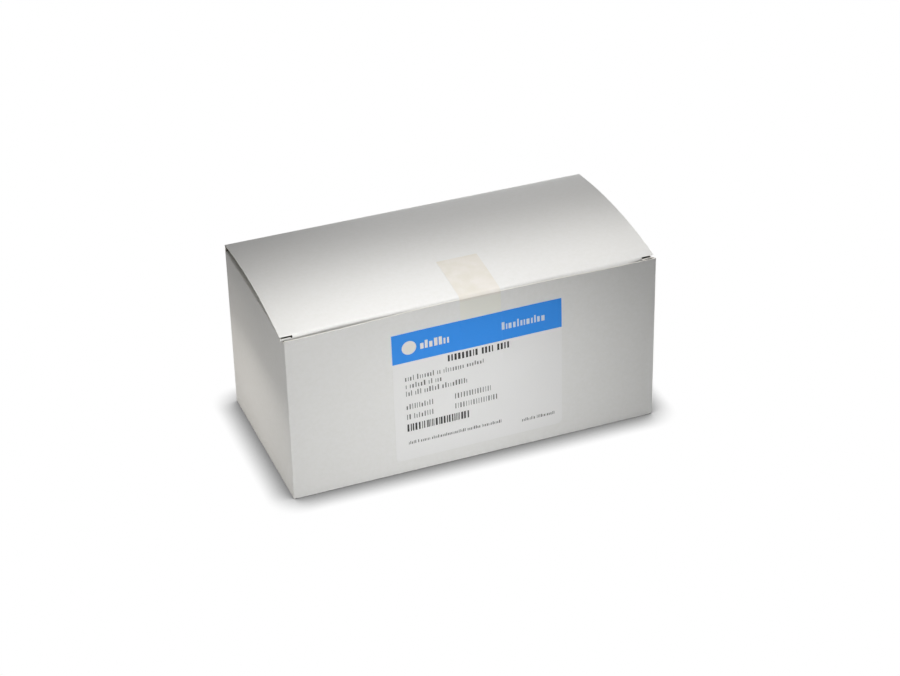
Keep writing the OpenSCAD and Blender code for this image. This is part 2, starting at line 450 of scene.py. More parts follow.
class Sheet:
    """Quads of one folded sheet, laid patch by patch and joined where their edges meet."""

    def __init__(self) -> None:
        """Starts with no quads."""
        self.points: list[np.ndarray] = []
        self.quads: list[tuple[int, int, int, int]] = []
        self.slots: list[int] = []
        self.count = 0

    def patch(self, grid: np.ndarray, slot: int = 0) -> None:
        """Adds a patch, which faces the way of its columns crossed with its rows.

        Args:
            grid: Points, as rows by columns by three coordinates.
            slot: The material slot of the patch.
        """
        rows, columns, _ = grid.shape
        self.points.append(grid.reshape(-1, 3))
        for i in range(rows - 1):
            for j in range(columns - 1):
                first = self.count + i * columns + j
                self.quads.append((first, first + 1, first + columns + 1, first + columns))
                self.slots.append(slot)
        self.count += rows * columns

    def mesh(self, name: str) -> bpy.types.Mesh:
        """Makes the sheet a mesh, with its patches joined.

        Args:
            name: The mesh's name.

        Returns:
            The mesh.
        """
        mesh = bpy.data.meshes.new(name)
        mesh.from_pydata(np.concatenate(self.points).tolist(), [], self.quads)
        mesh.polygons.foreach_set("material_index", self.slots)
        form = bmesh.new()
        form.from_mesh(mesh)
        bmesh.ops.remove_doubles(form, verts=form.verts, dist=SAME_POINT)
        form.to_mesh(mesh)
        form.free()
        return mesh


def plain_copy(piece: bpy.types.Object) -> bpy.types.Object:
    """Turns a piece with live modifiers into a plain mesh and takes the modifiers off.

    Args:
        piece: The piece, with its modifiers set.

    Returns:
        The same piece, with a plain mesh.
    """
    graph = bpy.context.evaluated_depsgraph_get()
    graph.update()
    mesh = bpy.data.meshes.new_from_object(piece.evaluated_get(graph))
    piece.modifiers.clear()
    piece.data = mesh
    return piece


def shade(mesh: bpy.types.Mesh, sharp_degrees: float = 35.0) -> None:
    """Shades a mesh smooth apart from its edges above an angle."""
    mesh.polygons.foreach_set("use_smooth", [True] * len(mesh.polygons))
    mesh.set_sharp_from_angle(angle=math.radians(sharp_degrees))


def start_tree(
    name: str, inputs: dict[str, str], output: str
) -> tuple[bpy.types.NodeTree, bpy.types.NodeOutputs]:
    """Starts a geometry tree.

    Args:
        name: The tree's name.
        inputs: The kind of each input, such as "Float", by the input's name.
        output: The name of what the tree makes.

    Returns:
        The tree, and the sockets that hold what it is given.
    """
    tree = bpy.data.node_groups.new(name, "GeometryNodeTree")
    for title, kind in inputs.items():
        tree.interface.new_socket(name=title, in_out="INPUT", socket_type=f"NodeSocket{kind}")
    tree.interface.new_socket(name=output, in_out="OUTPUT", socket_type="NodeSocketGeometry")
    return tree, add_node(tree, "NodeGroupInput").outputs


def end_tree(
    tree: bpy.types.NodeTree,
    shape: bpy.types.NodeSocket,
    material: bpy.types.NodeSocket,
    output: str,
) -> bpy.types.NodeTree:
    """Ends a geometry tree: makes its instances real and gives them their material.

    Args:
        tree: The tree.
        shape: The socket that holds the shape.
        material: The socket that holds its material.
        output: The name of what the tree makes.

    Returns:
        The tree.
    """
    real = add_node(tree, "GeometryNodeRealizeInstances", links={"Geometry": shape})
    links = {"Geometry": real.outputs[0], "Material": material}
    dressed = add_node(tree, "GeometryNodeSetMaterial", links=links)
    add_node(tree, "NodeGroupOutput", links={output: dressed.outputs[0]})
    return tree


def board_piece(
    name: str,
    mesh: bpy.types.Mesh,
    thickness: float,
    materials: list[bpy.types.Material],
    rim_slot: int = 0,
    inner_slot: int = 0,
) -> bpy.types.Object:
    """Gives a sheet its thickness, inwards from its outer face.

    Args:
        name: The piece's name.
        mesh: The sheet's outer face.
        thickness: The sheet's thickness.
        materials: The piece's materials; the first is the outer face's.
        rim_slot: The material slot of the cut edges.
        inner_slot: The material slot of the inner face.

    Returns:
        The piece, as a plain mesh.
    """
    piece = bpy.data.objects.new(name, mesh)
    bpy.context.scene.collection.objects.link(piece)
    for material in materials:
        mesh.materials.append(material)
    solidify = piece.modifiers.new("thickness", "SOLIDIFY")
    solidify.thickness = thickness
    solidify.offset = -1.0
    solidify.use_even_offset = True
    solidify.material_offset_rim = rim_slot
    solidify.material_offset = inner_slot
    plain_copy(piece)
    shade(piece.data)
    return piece


# --- The carton ---


class End(Enum):
    """The carton's two ends."""

    LEFT = "left"
    RIGHT = "right"


@dataclass(frozen=True)
class SlitLock:
    """How the slit at one end of the lid's front crease has opened.

    Attributes:
        lid_cut: How far behind the front panel's face the lid's cut edge lies.
        drop: How far the shoulder's top lies below the lid's outer face.
        lean: How far the shoulder's top tips forward.
        notch: Length of the hole at the slit's inner end.
        notch_depth: Depth of that hole.
        shoulder_depth: Height of the shoulder's full width, from its top down.
        draw_in: How far the flap's edge is cut back under the shoulder.
    """

    lid_cut: float
    drop: float
    lean: float
    notch: float
    notch_depth: float
    shoulder_depth: float
    draw_in: float


@dataclass(frozen=True)
class CartonForm:
    """The folded carton's sizes, and the faces that its pieces share.

    Attributes:
        left: Where the left end panel's face is along X in the shared frame.
        front: Where the front panel's face is along Y in the shared frame.
    """

    left: float
    front: float
    width: float = 227 * MM
    depth: float = 111.5 * MM
    height: float = 108.5 * MM
    board: float = 0.5 * MM
    crease: float = 0.6 * MM
    hinge_lift: float = 0.8 * MM
    lid_lift: float = 1.5 * MM
    lid_rise: float = 4 * MM
    roll: float = 1.8 * MM
    tuck_gap: float = 1.5 * MM
    tuck_length: float = 20 * MM
    dust_drop: float = 2.3 * MM
    # How much lower the front panel's cut edge is at its left end, and over which length
    edge_drop: float = 1.4 * MM
    edge_slope: float = 95 * MM
    # How far the lid's front left corner hangs down, and how far back that reaches
    lid_dip: float = 0.5 * MM
    dip_reach: float = 40 * MM
    seam_gap: float = 0.8 * MM
    # How far the tape has pulled the front panel's top edge in, and between which places
    pull: float = 1.45 * MM
    pull_rise: tuple[float, float] = (28 * MM, 88 * MM)
    pull_fall: tuple[float, float] = (148 * MM, 205 * MM)
    pull_power: float = 3.0
    # How far the hinge stands above its true height at its left and its right end
    hinge_tilt: tuple[float, float] = (0.65 * MM, -0.9 * MM)
    level_y: float = 10 * MM
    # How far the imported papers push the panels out
    belly: float = 0.3 * MM

    @property
    def dust_z(self) -> float:
        """Height of the folded dust flaps."""
        return self.height - self.dust_drop

    @property
    def tuck_y(self) -> float:
        """Distance of the tuck flap's face from the front panel's."""
        return self.board + self.tuck_gap

    @property
    def wall_top(self) -> float:
        """Height at which the end panels turn into the dust flaps."""
        return self.dust_z - self.crease

    @property
    def seam_y(self) -> float:
        """Where the right end panel's cut edge stops, short of the back corner."""
        return self.depth - self.crease - self.seam_gap

    @property
    def roll_centre(self) -> np.ndarray:
        """Centre of the lid's rolled front crease, as (y, z)."""
        return np.array([self.tuck_y + self.roll, self.height + self.lid_lift - self.roll])

    @property
    def hinge_centre(self) -> np.ndarray:
        """Centre of the lid's hinge crease, as (y, z)."""
        return np.array([self.depth - self.crease, self.height + self.hinge_lift - self.crease])

    @property
    def arch_radius(self) -> float:
        """Radius of the lid's outer face."""
        chord = np.linalg.norm(self.hinge_centre - self.roll_centre)
        sagitta = (chord**2 / 4 + self.lid_rise**2) / (2 * self.lid_rise)
        return float(sagitta + (self.roll + self.crease) / 2)

    @property
    def arch_centre(self) -> np.ndarray:
        """Centre of the lid's arch, from which both of its creases are met without a corner.

        Returns:
            The centre's place as (y, z).
        """
        to_roll = self.arch_radius - self.roll
        to_hinge = self.arch_radius - self.crease
        gap = float(np.linalg.norm(self.hinge_centre - self.roll_centre))
        across = (self.hinge_centre - self.roll_centre) / gap
        along = (to_roll**2 - to_hinge**2 + gap**2) / (2 * gap)
        down = math.sqrt(to_roll**2 - along**2)
        return self.roll_centre + along * across + down * np.array([across[1], -across[0]])

    @property
    def roll_angle(self) -> float:
        """Angle about the arch's centre at which the rolled crease begins."""
        y, z = self.roll_centre - self.arch_centre
        return math.atan2(z, y)

    @property
    def hinge_angle(self) -> float:
        """Angle about the arch's centre at which the hinge crease begins."""
        y, z = self.hinge_centre - self.arch_centre
        return math.atan2(z, y)

    def arch_height(self, y: float, inset: float = 0.0) -> float:
        """Height of the lid's outer face at y, or of a face that lies inset below it."""
        away = y - self.arch_centre[0]
        return float(self.arch_centre[1] + math.sqrt((self.arch_radius - inset) ** 2 - away**2))

    def front_face(self, x: np.ndarray, z: np.ndarray) -> np.ndarray:
        """Distance of the front panel's face behind its flat place.

        Args:
            x: Places along the panel.
            z: Heights on the panel.

        Returns:
            The distances, above 0 where the tape pulls the panel in.
        """
        start, full = self.pull_rise
        last, end = self.pull_fall
        window = smooth((x - start) / (full - start)) * smooth((end - x) / (end - last))
        share = np.clip((z - self.crease) / (self.height - self.crease), 0, 1)
        swell = np.sin(np.pi * share) * np.sin(np.pi * np.clip(x / self.width, 0, 1))
        return self.pull * window * share**self.pull_power - self.belly * swell

    def cut_edge(self, points: np.ndarray) -> np.ndarray:
        """Lowers the front panel's top to its cut edge, which slopes down at the left.

        Args:
            points: Places on the front panel, as (x, y, z) along the last axis.

        Returns:
            The places, in the same order.
        """
        x, z = points[..., 0], points[..., 2]
        drop = self.edge_drop * np.clip(1 - x / self.edge_slope, 0, 1)
        upward = np.clip((z - self.wall_top) / (self.height - self.wall_top), 0, 1)
        cut = points.copy()
        cut[..., 2] -= drop * upward
        return cut

    def settled(self, points: np.ndarray) -> np.ndarray:
        """Moves the lid and the back panel's top up or down to where the closed lid has settled.

        Args:
            points: Places on the carton, as (x, y, z) along the last axis.

        Returns:
            The places, in the same order.
        """
        x, y, z = points[..., 0], points[..., 1], points[..., 2]
        left, right = self.hinge_tilt
        at_hinge = left + (right - left) * x / self.width
        backward = np.clip((y - self.level_y) / (self.depth - self.level_y), 0, 1)
        upward = np.clip((z - self.wall_top) / (self.hinge_centre[1] - self.wall_top), 0, 1)
        at_front = self.lid_dip * np.clip(1 - x / self.edge_slope, 0, 1)
        forward = np.clip(1 - y / self.dip_reach, 0, 1)
        above = np.clip((z - self.dust_z) / (self.roll_centre[1] - self.dust_z), 0, 1)
        moved = points.copy()
        moved[..., 2] += at_hinge * backward * upward - at_front * forward * above
        return moved

    def place(self, points: np.ndarray) -> np.ndarray:
        """Moves carton places into the shared frame."""
        return points + np.array([self.left, self.front, 0.0])


@dataclass
class FoldedCarton:
    """The one folded blank: sleeve, lid, tuck flap, dust flaps and base flaps."""

    form: CartonForm
    slit: float = 7.5 * MM
    locks: tuple[SlitLock, SlitLock] = (
        SlitLock(
            lid_cut=2.4 * MM,
            drop=0.95 * MM,
            lean=0.1 * MM,
            notch=1.2 * MM,
            notch_depth=0.9 * MM,
            shoulder_depth=1.4 * MM,
            draw_in=0.8 * MM,
        ),
        SlitLock(
            lid_cut=2.35 * MM,
            drop=1.2 * MM,
            lean=0.75 * MM,
            notch=2.3 * MM,
            notch_depth=2.2 * MM,
            shoulder_depth=0.5 * MM,
            draw_in=5 * MM,
        ),
    )
    # The lid's slit ends curl down over this radius, by this angle in degrees
    lip_radius: float = 0.7 * MM
    lip_turn: float = 50.0
    # Length over which a shoulder tips forward from its slit's inner end
    lean_run: float = 2 * MM
    # How far forward the rolled crease presses, as (place along it, distance)
    presses: tuple[tuple[float, float], ...] = (
        (10 * MM, 0.75 * MM),
        (20 * MM, 0.4 * MM),
        (32 * MM, 0.0),
        (160 * MM, 0.0),
        (185 * MM, 0.9 * MM),
        (214 * MM, 1.1 * MM),
        (219.5 * MM, 0.0),
    )
    # How far below the crease the press reaches
    press_reach: float = 8 * MM
    # How far the lid's ends stand out past the sleeve at the front crease
    lid_flare_left: float = 1.9 * MM
    lid_flare_right: float = -0.8 * MM
    tuck_clearance: float = 0.3 * MM
    tuck_taper: float = 3 * MM
    tuck_corner: float = 10 * MM
    dust_length: float = 50 * MM
    dust_bevel: float = 14 * MM
    dust_front_relief: float = 8 * MM
    dust_back_relief: float = 2 * MM
    glue_length: float = 14 * MM
    base_side_inset: float = 2 * MM
    outer_reach: float = 52 * MM
    outer_taper: float = 4 * MM
    lock_reach: float = 60 * MM
    lock_width: float = 112 * MM
    end_flap_length: float = 54 * MM
    end_flap_relief: float = 6 * MM
    inner_reach: float = 64 * MM
    ramp: float = 7 * MM
    # What a base flap clears the flap below it by
    flap_gap: float = 0.03 * MM
    # Height over which a shoulder's side steps in
    shoulder_step: float = 0.05 * MM
    # Where the hole at a slit's inner end is divided, as shares of its length
    notch_shares: tuple[float, ...] = (0.4, 0.8, 1.0)
    pitch: float = 4 * MM
    tuck_pitch: float = 2.5 * MM
    crease_steps: int = 6
    arch_steps: int = 28
    roll_steps: int = 10
    lip_steps: int = 4
    run_steps: int = 2
    sheet: Sheet = field(default_factory=Sheet)

    def __post_init__(self) -> None:
        """Works out the stations along X and Y at which neighbouring patches meet."""
        form = self.form
        middle = form.width / 2
        shrink = 1 - self.outer_taper / (middle - self.base_side_inset)
        lock_half = self.lock_width / 2 / shrink
        self.front_x = divide(
            [
                form.crease,
                self.base_side_inset,
                middle - lock_half,
                middle + lock_half,
                form.width - self.base_side_inset,
                form.width - form.crease,
            ],
            self.pitch,
        )
        self.back_corner_x = form.width - form.board - form.crease
        slit_end = form.width - self.slit
        left, right = self.locks
        self.lid_x = divide(
            [
                0.0,
                form.crease,
                *(self.slit - share * left.notch for share in reversed(self.notch_shares)),
                self.slit,
                slit_end,
                *(slit_end + share * right.notch for share in self.notch_shares),
                self.back_corner_x,
                form.width,
            ],
            self.pitch,
        )
        self.end_y = divide(
            [
                form.crease,
                self.dust_front_relief,
                form.depth - self.end_flap_relief,
                form.depth - self.dust_back_relief,
            ],
            self.pitch,
        )
        self.wall_z = divide([form.crease, form.wall_top], self.pitch)
        self.front_z = divide([form.crease, form.wall_top, form.height], self.pitch)
        self.back_z = divide([form.crease, form.wall_top, form.hinge_centre[1]], self.pitch)

    def swept(self, plan: np.ndarray, levels: np.ndarray) -> np.ndarray:
        """Stands a plan of (x, y) points up between levels, as a grid of rows by columns."""
        grid = np.empty((len(levels), len(plan), 3))
        grid[:, :, :2] = plan[None]
        grid[:, :, 2] = levels[:, None]
        return grid

    def corner(self, x: float, y: float, start_degrees: float) -> np.ndarray:
        """Plan of a quarter-turn crease between two panels, anticlockwise from above."""
        start = math.radians(start_degrees)
        centre = np.array([x, y])
        return arc(centre, self.form.crease, start, start + math.pi / 2, self.crease_steps)

    def add_sleeve(self) -> None:
        """Adds the four panels, their creases and the glue flap behind the right end panel."""
        form, c = self.form, self.form.crease
        front = self.swept(np.stack([self.front_x, np.zeros_like(self.front_x)], 1), self.front_z)
        front[:, :, 1] = form.front_face(front[:, :, 0], front[:, :, 2])
        right_corner = self.swept(self.corner(form.width - c, c, -90), self.front_z)
        left_corner = self.swept(self.corner(c, c, 180), self.front_z)
        for grid in (front, right_corner, left_corner):
            self.sheet.patch(form.place(form.cut_edge(grid)))

        left_y = np.append(self.end_y, form.depth - c)[::-1]
        right_y = np.append(self.end_y, form.seam_y)
        for x, ys, outward in ((0.0, left_y, -1), (form.width, right_y, 1)):
            wall = self.swept(np.stack([np.full_like(ys, x), ys], 1), self.wall_z)
            across = np.sin(np.pi * np.clip((wall[:, :, 1] - c) / (form.depth - 2 * c), 0, 1))
            upward = np.sin(np.pi * (wall[:, :, 2] - c) / (self.wall_z[-1] - c))
            wall[:, :, 0] += outward * form.belly * across * upward
            self.sheet.patch(form.place(wall))

        back_x = within(self.lid_x, c, self.back_corner_x)
        back = self.swept(
            np.stack([back_x[::-1], np.full_like(back_x, form.depth)], 1), self.back_z
        )
        back_corner = self.swept(self.corner(c, form.depth - c, 90), self.back_z)
        seam = self.swept(self.corner(self.back_corner_x, form.depth - c, 0), self.back_z)
        for grid in (back, back_corner, seam):
            self.sheet.patch(form.place(form.settled(grid)))
        flap_y = divide([form.depth - c - self.glue_length, form.depth - c], self.pitch)
        flap_x = np.full_like(flap_y, form.width - form.board)
        self.sheet.patch(form.place(self.swept(np.stack([flap_x, flap_y], 1), self.wall_z)))

    def flared(self, stations: np.ndarray, y: float) -> np.ndarray:
        """Moves stations along the lid to where its flared ends put them, at y."""
        form = self.form
        share = stations / form.width
        ahead = 1 - y / form.depth
        return stations + ahead * (self.lid_flare_right * share - self.lid_flare_left * (1 - share))

    def pressed(self, stations: np.ndarray, z: float) -> np.ndarray:
        """How far forward the rolled crease and the tuck flap press at a height.

        Args:
            stations: Places along the crease.
            z: The height.

        Returns:
            The distance forward at each station.
        """
        level = self.form.roll_centre[1]
        reach = self.form.roll if z > level else self.press_reach
        share = max(0.0, 1 - abs(z - level) / reach)
        places, distances = zip(*self.presses)
        return share * np.interp(stations, places, distances)

    def lid_rows(self, profile: np.ndarray, stations: np.ndarray) -> np.ndarray:
        """Carries a profile of (y, z) points along the lid's stations.

        Args:
            profile: The (y, z) points.
            stations: Places along the lid.

        Returns:
            The grid of points, one row for each point of the profile.
        """
        grid = np.empty((len(profile), len(stations), 3))
        for row, (y, z) in zip(grid, profile):
            row[:, 0] = self.flared(stations, min(y, self.form.depth))
            row[:, 1] = y
            if y < self.form.depth / 2:
                row[:, 1] -= self.pressed(stations, z)
            row[:, 2] = z
        return self.form.settled(grid)

    def add_lid(self) -> None:
        """Adds the arched lid with its hinge, the rolled crease and the lid's slit ends."""
        form = self.form
        roll = arc(form.roll_centre, form.roll, math.pi, form.roll_angle, self.roll_steps)
        arch = arc(
            form.arch_centre, form.arch_radius, form.roll_angle, form.hinge_angle, self.arch_steps
        )
        hinge = arc(form.hinge_centre, form.crease, form.hinge_angle, 0.0, self.crease_steps)
        self.sheet.patch(form.place(self.lid_rows(np.vstack([arch, hinge[1:]]), self.lid_x)))
        between = within(self.lid_x, self.slit, form.width - self.slit)
        self.sheet.patch(form.place(self.lid_rows(roll, between)))
        # Past the slits the lid runs on to a cut edge that curls down behind the shoulder
        turn = math.radians(self.lip_turn)
        lip_reach = self.lip_radius * (math.cos(form.roll_angle) - math.cos(form.roll_angle + turn))
        for lock, stations in zip(self.locks, self.end_stations()):
            lip_y = lock.lid_cut + lip_reach
            lip_angle = math.acos((lip_y - form.arch_centre[0]) / form.arch_radius)
            outward = np.array([math.cos(lip_angle), math.sin(lip_angle)])
            lip_centre = form.arch_centre + (form.arch_radius - self.lip_radius) * outward
            lip = arc(lip_centre, self.lip_radius, lip_angle + turn, lip_angle, self.lip_steps)
            run = arc(
                form.arch_centre, form.arch_radius, lip_angle, form.roll_angle, self.run_steps
            )
            profile = np.vstack([lip, run[1:]])
            self.sheet.patch(form.place(self.lid_rows(profile, stations)))

    def shoulder_top(self, lock: SlitLock) -> float:
        """Height of a shoulder's top edge."""
        return self.form.arch_height(lock.lid_cut) - lock.drop

    def end_stations(self) -> list[np.ndarray]:
        """The lid's stations outside the slits, at the left and at the right."""
        slit_end = self.form.width - self.slit
        return [within(self.lid_x, high=self.slit), within(self.lid_x, low=slit_end)]

    def tuck_x(self, stations: np.ndarray, z: float) -> np.ndarray:
        """Where the lid's stations lie across the tuck flap at a height.

        Args:
            stations: Places along the lid.
            z: The height.

        Returns:
            The place along X of each station.
        """
        form = self.form
        wide = self.flared(stations, form.tuck_y)
        foot = form.height - form.tuck_length
        if z > form.dust_z:
            return self.shouldered(stations, wide, z)
        below = (form.dust_z - z) / (form.dust_z - foot)
        inset = form.board + self.tuck_clearance + self.tuck_taper * below
        rounded = self.tuck_corner - (z - foot)
        if rounded > 0:
            inset += self.tuck_corner - math.sqrt(self.tuck_corner**2 - rounded**2)
        return inset + (form.width - 2 * inset) * stations / form.width

    def shouldered(self, stations: np.ndarray, wide: np.ndarray, z: float) -> np.ndarray:
        """Draws the tuck flap's ends in below its shoulders.

        Args:
            stations: Places along the lid.
            wide: Where they lie at the flap's full width.
            z: The height.

        Returns:
            Where they lie at this height.
        """
        form = self.form
        placed = wide.copy()
        left, right = self.locks
        for lock, past, end in zip(
            self.locks,
            (self.slit - stations, stations - form.width + self.slit),
            (left.draw_in, form.width - right.draw_in),
        ):
            if z > self.shoulder_top(lock) - lock.shoulder_depth:
                continue
            share = np.clip(past / self.slit, 0, 1)
            outermost = placed[np.argmax(past)]
            placed += (end - outermost) * share
        return placed

    def add_tuck_flap(self) -> None:
        """Adds the tuck flap behind the front panel, and its shoulders under the slits."""
        form = self.form
        foot = form.height - form.tuck_length
        step = self.shoulder_step
        steps = []
        for lock in self.locks:
            at = self.shoulder_top(lock) - lock.shoulder_depth
            steps += [z for z in (at, at + step) if z < form.roll_centre[1] - step]
        levels = divide(
            sorted(
                [
                    foot,
                    foot + self.tuck_corner / 4,
                    foot + self.tuck_corner,
                    form.dust_z,
                    form.roll_centre[1],
                    *steps,
                ]
            ),
            self.tuck_pitch,
        )
        self.add_tuck_rows(levels, self.lid_x)
        for lock, stations in zip(self.locks, self.end_stations()):
            top = self.shoulder_top(lock)
            at = top - lock.shoulder_depth
            above = [z for z in (at, at + step) if z > form.roll_centre[1]]
            levels = np.array([form.roll_centre[1], *above, top])
            slit_end = stations[-1] if stations[0] == 0 else stations[0]
            away = np.clip(np.abs(stations - slit_end) / lock.notch, 0, 1)
            near_end = np.sqrt(1 - away**2)
            room = top - levels[-2] - step
            self.add_tuck_rows(levels, stations, min(lock.notch_depth, room) * near_end)

    def leaning(self, stations: np.ndarray, z: float) -> np.ndarray:
        """How far forward the tuck flap's shoulders tip at a height.

        Args:
            stations: Places along the lid.
            z: The height.

        Returns:
            The distance forward at each station.
        """
        form = self.form
        lean = np.zeros_like(stations)
        for lock, past in zip(
            self.locks, (self.slit - stations, stations - form.width + self.slit)
        ):
            share = np.clip((z - form.dust_z) / (self.shoulder_top(lock) - form.dust_z), 0, 1)
            lean += lock.lean * share * np.clip(past / self.lean_run, 0, 1)
        return lean

    def add_tuck_rows(
        self, levels: np.ndarray, stations: np.ndarray, cut: np.ndarray | float = 0.0
    ) -> None:
        """Adds one patch of the tuck flap.

        Args:
            levels: The patch's heights, from its lowest row to its highest.
            stations: The patch's places along the lid.
            cut: How much lower the highest row is at each station.
        """
        grid = np.empty((len(levels), len(stations), 3))
        for row, z in zip(grid, levels):
            row[:, 0] = self.tuck_x(stations, z)
            row[:, 1] = self.form.tuck_y - self.leaning(stations, z) - self.pressed(stations, z)
            row[:, 2] = z
        grid[-1, :, 2] -= cut
        self.sheet.patch(self.form.place(self.form.settled(grid)))

    def add_end_patch(self, end: End, grid: np.ndarray) -> None:
        """Adds a patch drawn for the left end, turned round for the right end if asked."""
        if end is End.RIGHT:
            grid = grid[:, ::-1].copy()
            grid[:, :, 0] = self.form.width - grid[:, :, 0]
        self.sheet.patch(self.form.place(grid))

    def add_dust_flap(self, end: End) -> None:
        """Adds the dust flap that is hinged on an end panel's top.

        Args:
            end: The end that carries it.
        """
        form, c = self.form, self.form.crease
        low, high = self.dust_front_relief, form.depth - self.dust_back_relief
        ys = within(self.end_y, low=low)[::-1]
        crease = arc(np.array([c, form.dust_z - c]), c, math.pi, math.pi / 2, self.crease_steps)
        reach = divide([c, self.dust_length - self.dust_bevel, self.dust_length], self.pitch)
        flat = np.stack([reach[1:], np.full(len(reach) - 1, form.dust_z)], 1)
        profile = np.vstack([crease, flat])
        grid = np.empty((len(profile), len(ys), 3))
        for row, (x, z) in zip(grid, profile):
            cut = max(0.0, x - (self.dust_length - self.dust_bevel))
            share = (ys - low) / (high - low)
            row[:, 0] = x
            row[:, 1] = low + cut + (high - low - 2 * cut) * share
            row[:, 2] = z
        self.add_end_patch(end, grid)

    def raised(self, away: np.ndarray, height: float) -> np.ndarray:
        """Height of a base flap that climbs over the flaps outside it, away from its crease."""
        return height * smooth((away - self.form.crease) / self.ramp)

    def add_end_base_flap(self, end: End) -> None:
        """Adds the base flap that is hinged on an end panel, with its slanting back edge.

        Args:
            end: The end that carries it.
        """
        form, c = self.form, self.form.crease
        slant_top = form.depth - self.end_flap_relief
        ys = within(self.end_y, high=slant_top)[::-1]
        reach = divide([c, c + self.ramp, self.end_flap_length], self.pitch / 2)[::-1]
        lift = self.raised(reach, form.board + self.flap_gap)
        crease = arc(np.array([c, c]), c, 1.5 * math.pi, math.pi, self.crease_steps)
        profile = np.vstack([np.stack([reach, lift], 1), crease[1:]])
        grid = np.empty((len(profile), len(ys), 3))
        for row, (x, z) in zip(grid, profile):
            high = slant_top - max(0.0, x - c)
            row[:, 0] = x
            row[:, 1] = c + (ys - c) * (high - c) / (slant_top - c)
            row[:, 2] = z
        self.add_end_patch(end, grid)

    def add_outer_base_flap(self) -> None:
        """Adds the outermost base flap, hinged on the front panel, and its lock tongue."""
        form, c = self.form, self.form.crease
        middle = form.width / 2
        inset = self.base_side_inset
        stations = within(self.front_x, inset, form.width - inset) - middle
        reach = divide([c, self.outer_reach], self.pitch)[::-1]
        crease = arc(np.array([c, c]), c, 1.5 * math.pi, math.pi, self.crease_steps)
        profile = np.vstack([np.stack([reach, np.zeros_like(reach)], 1), crease[1:]])
        taper = self.outer_taper / (middle - self.base_side_inset)

        def rows(points: np.ndarray, across: np.ndarray) -> np.ndarray:
            """Carries (y, z) points across the flap, which narrows away from its crease.

            Args:
                points: The (y, z) points.
                across: Distances from the flap's middle.

            Returns:
                The grid of points, one row for each (y, z) point.
            """
            grid = np.empty((len(points), len(across), 3))
            for row, (y, z) in zip(grid, points):
                share = np.clip((y - c) / (self.outer_reach - c), 0, 1)
                row[:, 0] = middle + across * (1 - taper * share)
                row[:, 1] = y
                row[:, 2] = z
            return grid

        self.sheet.patch(form.place(rows(profile, stations)))
        tongue = stations[np.abs(stations) * (1 - taper) < self.lock_width / 2 + ROUNDING]
        dive = divide([self.outer_reach, self.lock_reach], self.pitch / 2)[::-1]
        self.sheet.patch(form.place(rows(np.stack([dive, np.zeros_like(dive)], 1), tongue)))

    def add_inner_base_flap(self) -> None:
        """Adds the innermost base flap, hinged on the back panel."""
        form, c = self.form, self.form.crease
        stations = within(self.lid_x, c, self.back_corner_x)[::-1]
        away = divide([c, c + self.ramp, self.inner_reach], self.pitch / 2)[::-1]
        lift = self.raised(away, 2 * (form.board + self.flap_gap))
        flat = np.stack([form.depth - away, lift], 1)
        crease = arc(np.array([form.depth - c, c]), c, -0.5 * math.pi, 0.0, self.crease_steps)
        profile = np.vstack([flat, crease[1:]])
        grid = np.empty((len(profile), len(stations), 3))
        grid[:, :, 0] = stations[None]
        grid[:, :, 1] = profile[:, :1]
        grid[:, :, 2] = profile[:, 1:]
        self.sheet.patch(form.place(grid))

    def build(self) -> bpy.types.Object:
        """Folds the whole blank, gives it the board's thickness and dresses it.

        Returns:
            The carton, with its cut edges and both faces dressed.
        """
        self.add_sleeve()
        self.add_lid()
        self.add_tuck_flap()
        for end in End:
            self.add_dust_flap(end)
            self.add_end_base_flap(end)
        self.add_outer_base_flap()
        self.add_inner_base_flap()
        materials = [
            CoatedBoard().material(),
            RawBoard("boxboard_cut_edge", "#FAF8F2", "#F0ECE4").material(),
            # The inner face's dark grey is partly grey-back board and partly painted shade, which
            # darkens the gaps under the lid
            RawBoard("grey_back_inner_face_and_shade", "#8C8981", "#827F76").material(),
        ]
        mesh = self.sheet.mesh("folded_carton")
        return board_piece("folded_carton", mesh, self.form.board, materials, 1, 2)


@dataclass
class PackedPapers:
    """The folded papers, as far as a look in under the lid's ends could meet them."""

    form: CartonForm
    from_end: float = 49 * MM
    clearance: float = 0.3 * MM
    lid_clearance: float = 1.2 * MM
    foot: float = 60 * MM
    pitch: float = 4 * MM
    length_pitch: float = 16 * MM

    def build(self) -> bpy.types.Object:
        """Builds the pack's arched block between the dust flaps, as a closed mesh.

        Returns:
            The pack.
        """
        form = self.form
        near = form.tuck_y + form.board + self.clearance
        far = form.depth - form.board - self.clearance
        inset = form.board + self.lid_clearance
        ys = divide([near, far], self.pitch)
        low = form.roll_centre[1]
        top = np.array([min(form.arch_height(y, inset), form.hinge_centre[1] + y) for y in ys])
        outline = np.vstack(
            [np.stack([ys, top], 1), [[far, low], [far, self.foot], [near, self.foot], [near, low]]]
        )
        xs = divide([self.from_end, form.width - self.from_end], self.length_pitch)
        block = bmesh.new()
        rings = []
        for x in xs:
            points = np.column_stack([np.full(len(outline), x), outline])
            rings.append([block.verts.new(p) for p in form.place(points)])
        for ring, after in zip(rings, rings[1:]):
            for i in range(len(ring)):
                j = (i + 1) % len(ring)
                block.faces.new([ring[i], ring[j], after[j], after[i]])
        block.faces.new(rings[0])
        block.faces.new(rings[-1])
        bmesh.ops.recalc_face_normals(block, faces=block.faces)
        mesh = bpy.data.meshes.new("packed_papers")
        block.to_mesh(mesh)
        block.free()
        mesh.materials.append(RawBoard("filter_paper", "#ECEAE4", "#DEDBD2").material())
        piece = bpy.data.objects.new("packed_papers", mesh)
        bpy.context.scene.collection.objects.link(piece)
        shade(mesh)
        return piece


# --- The tape ---


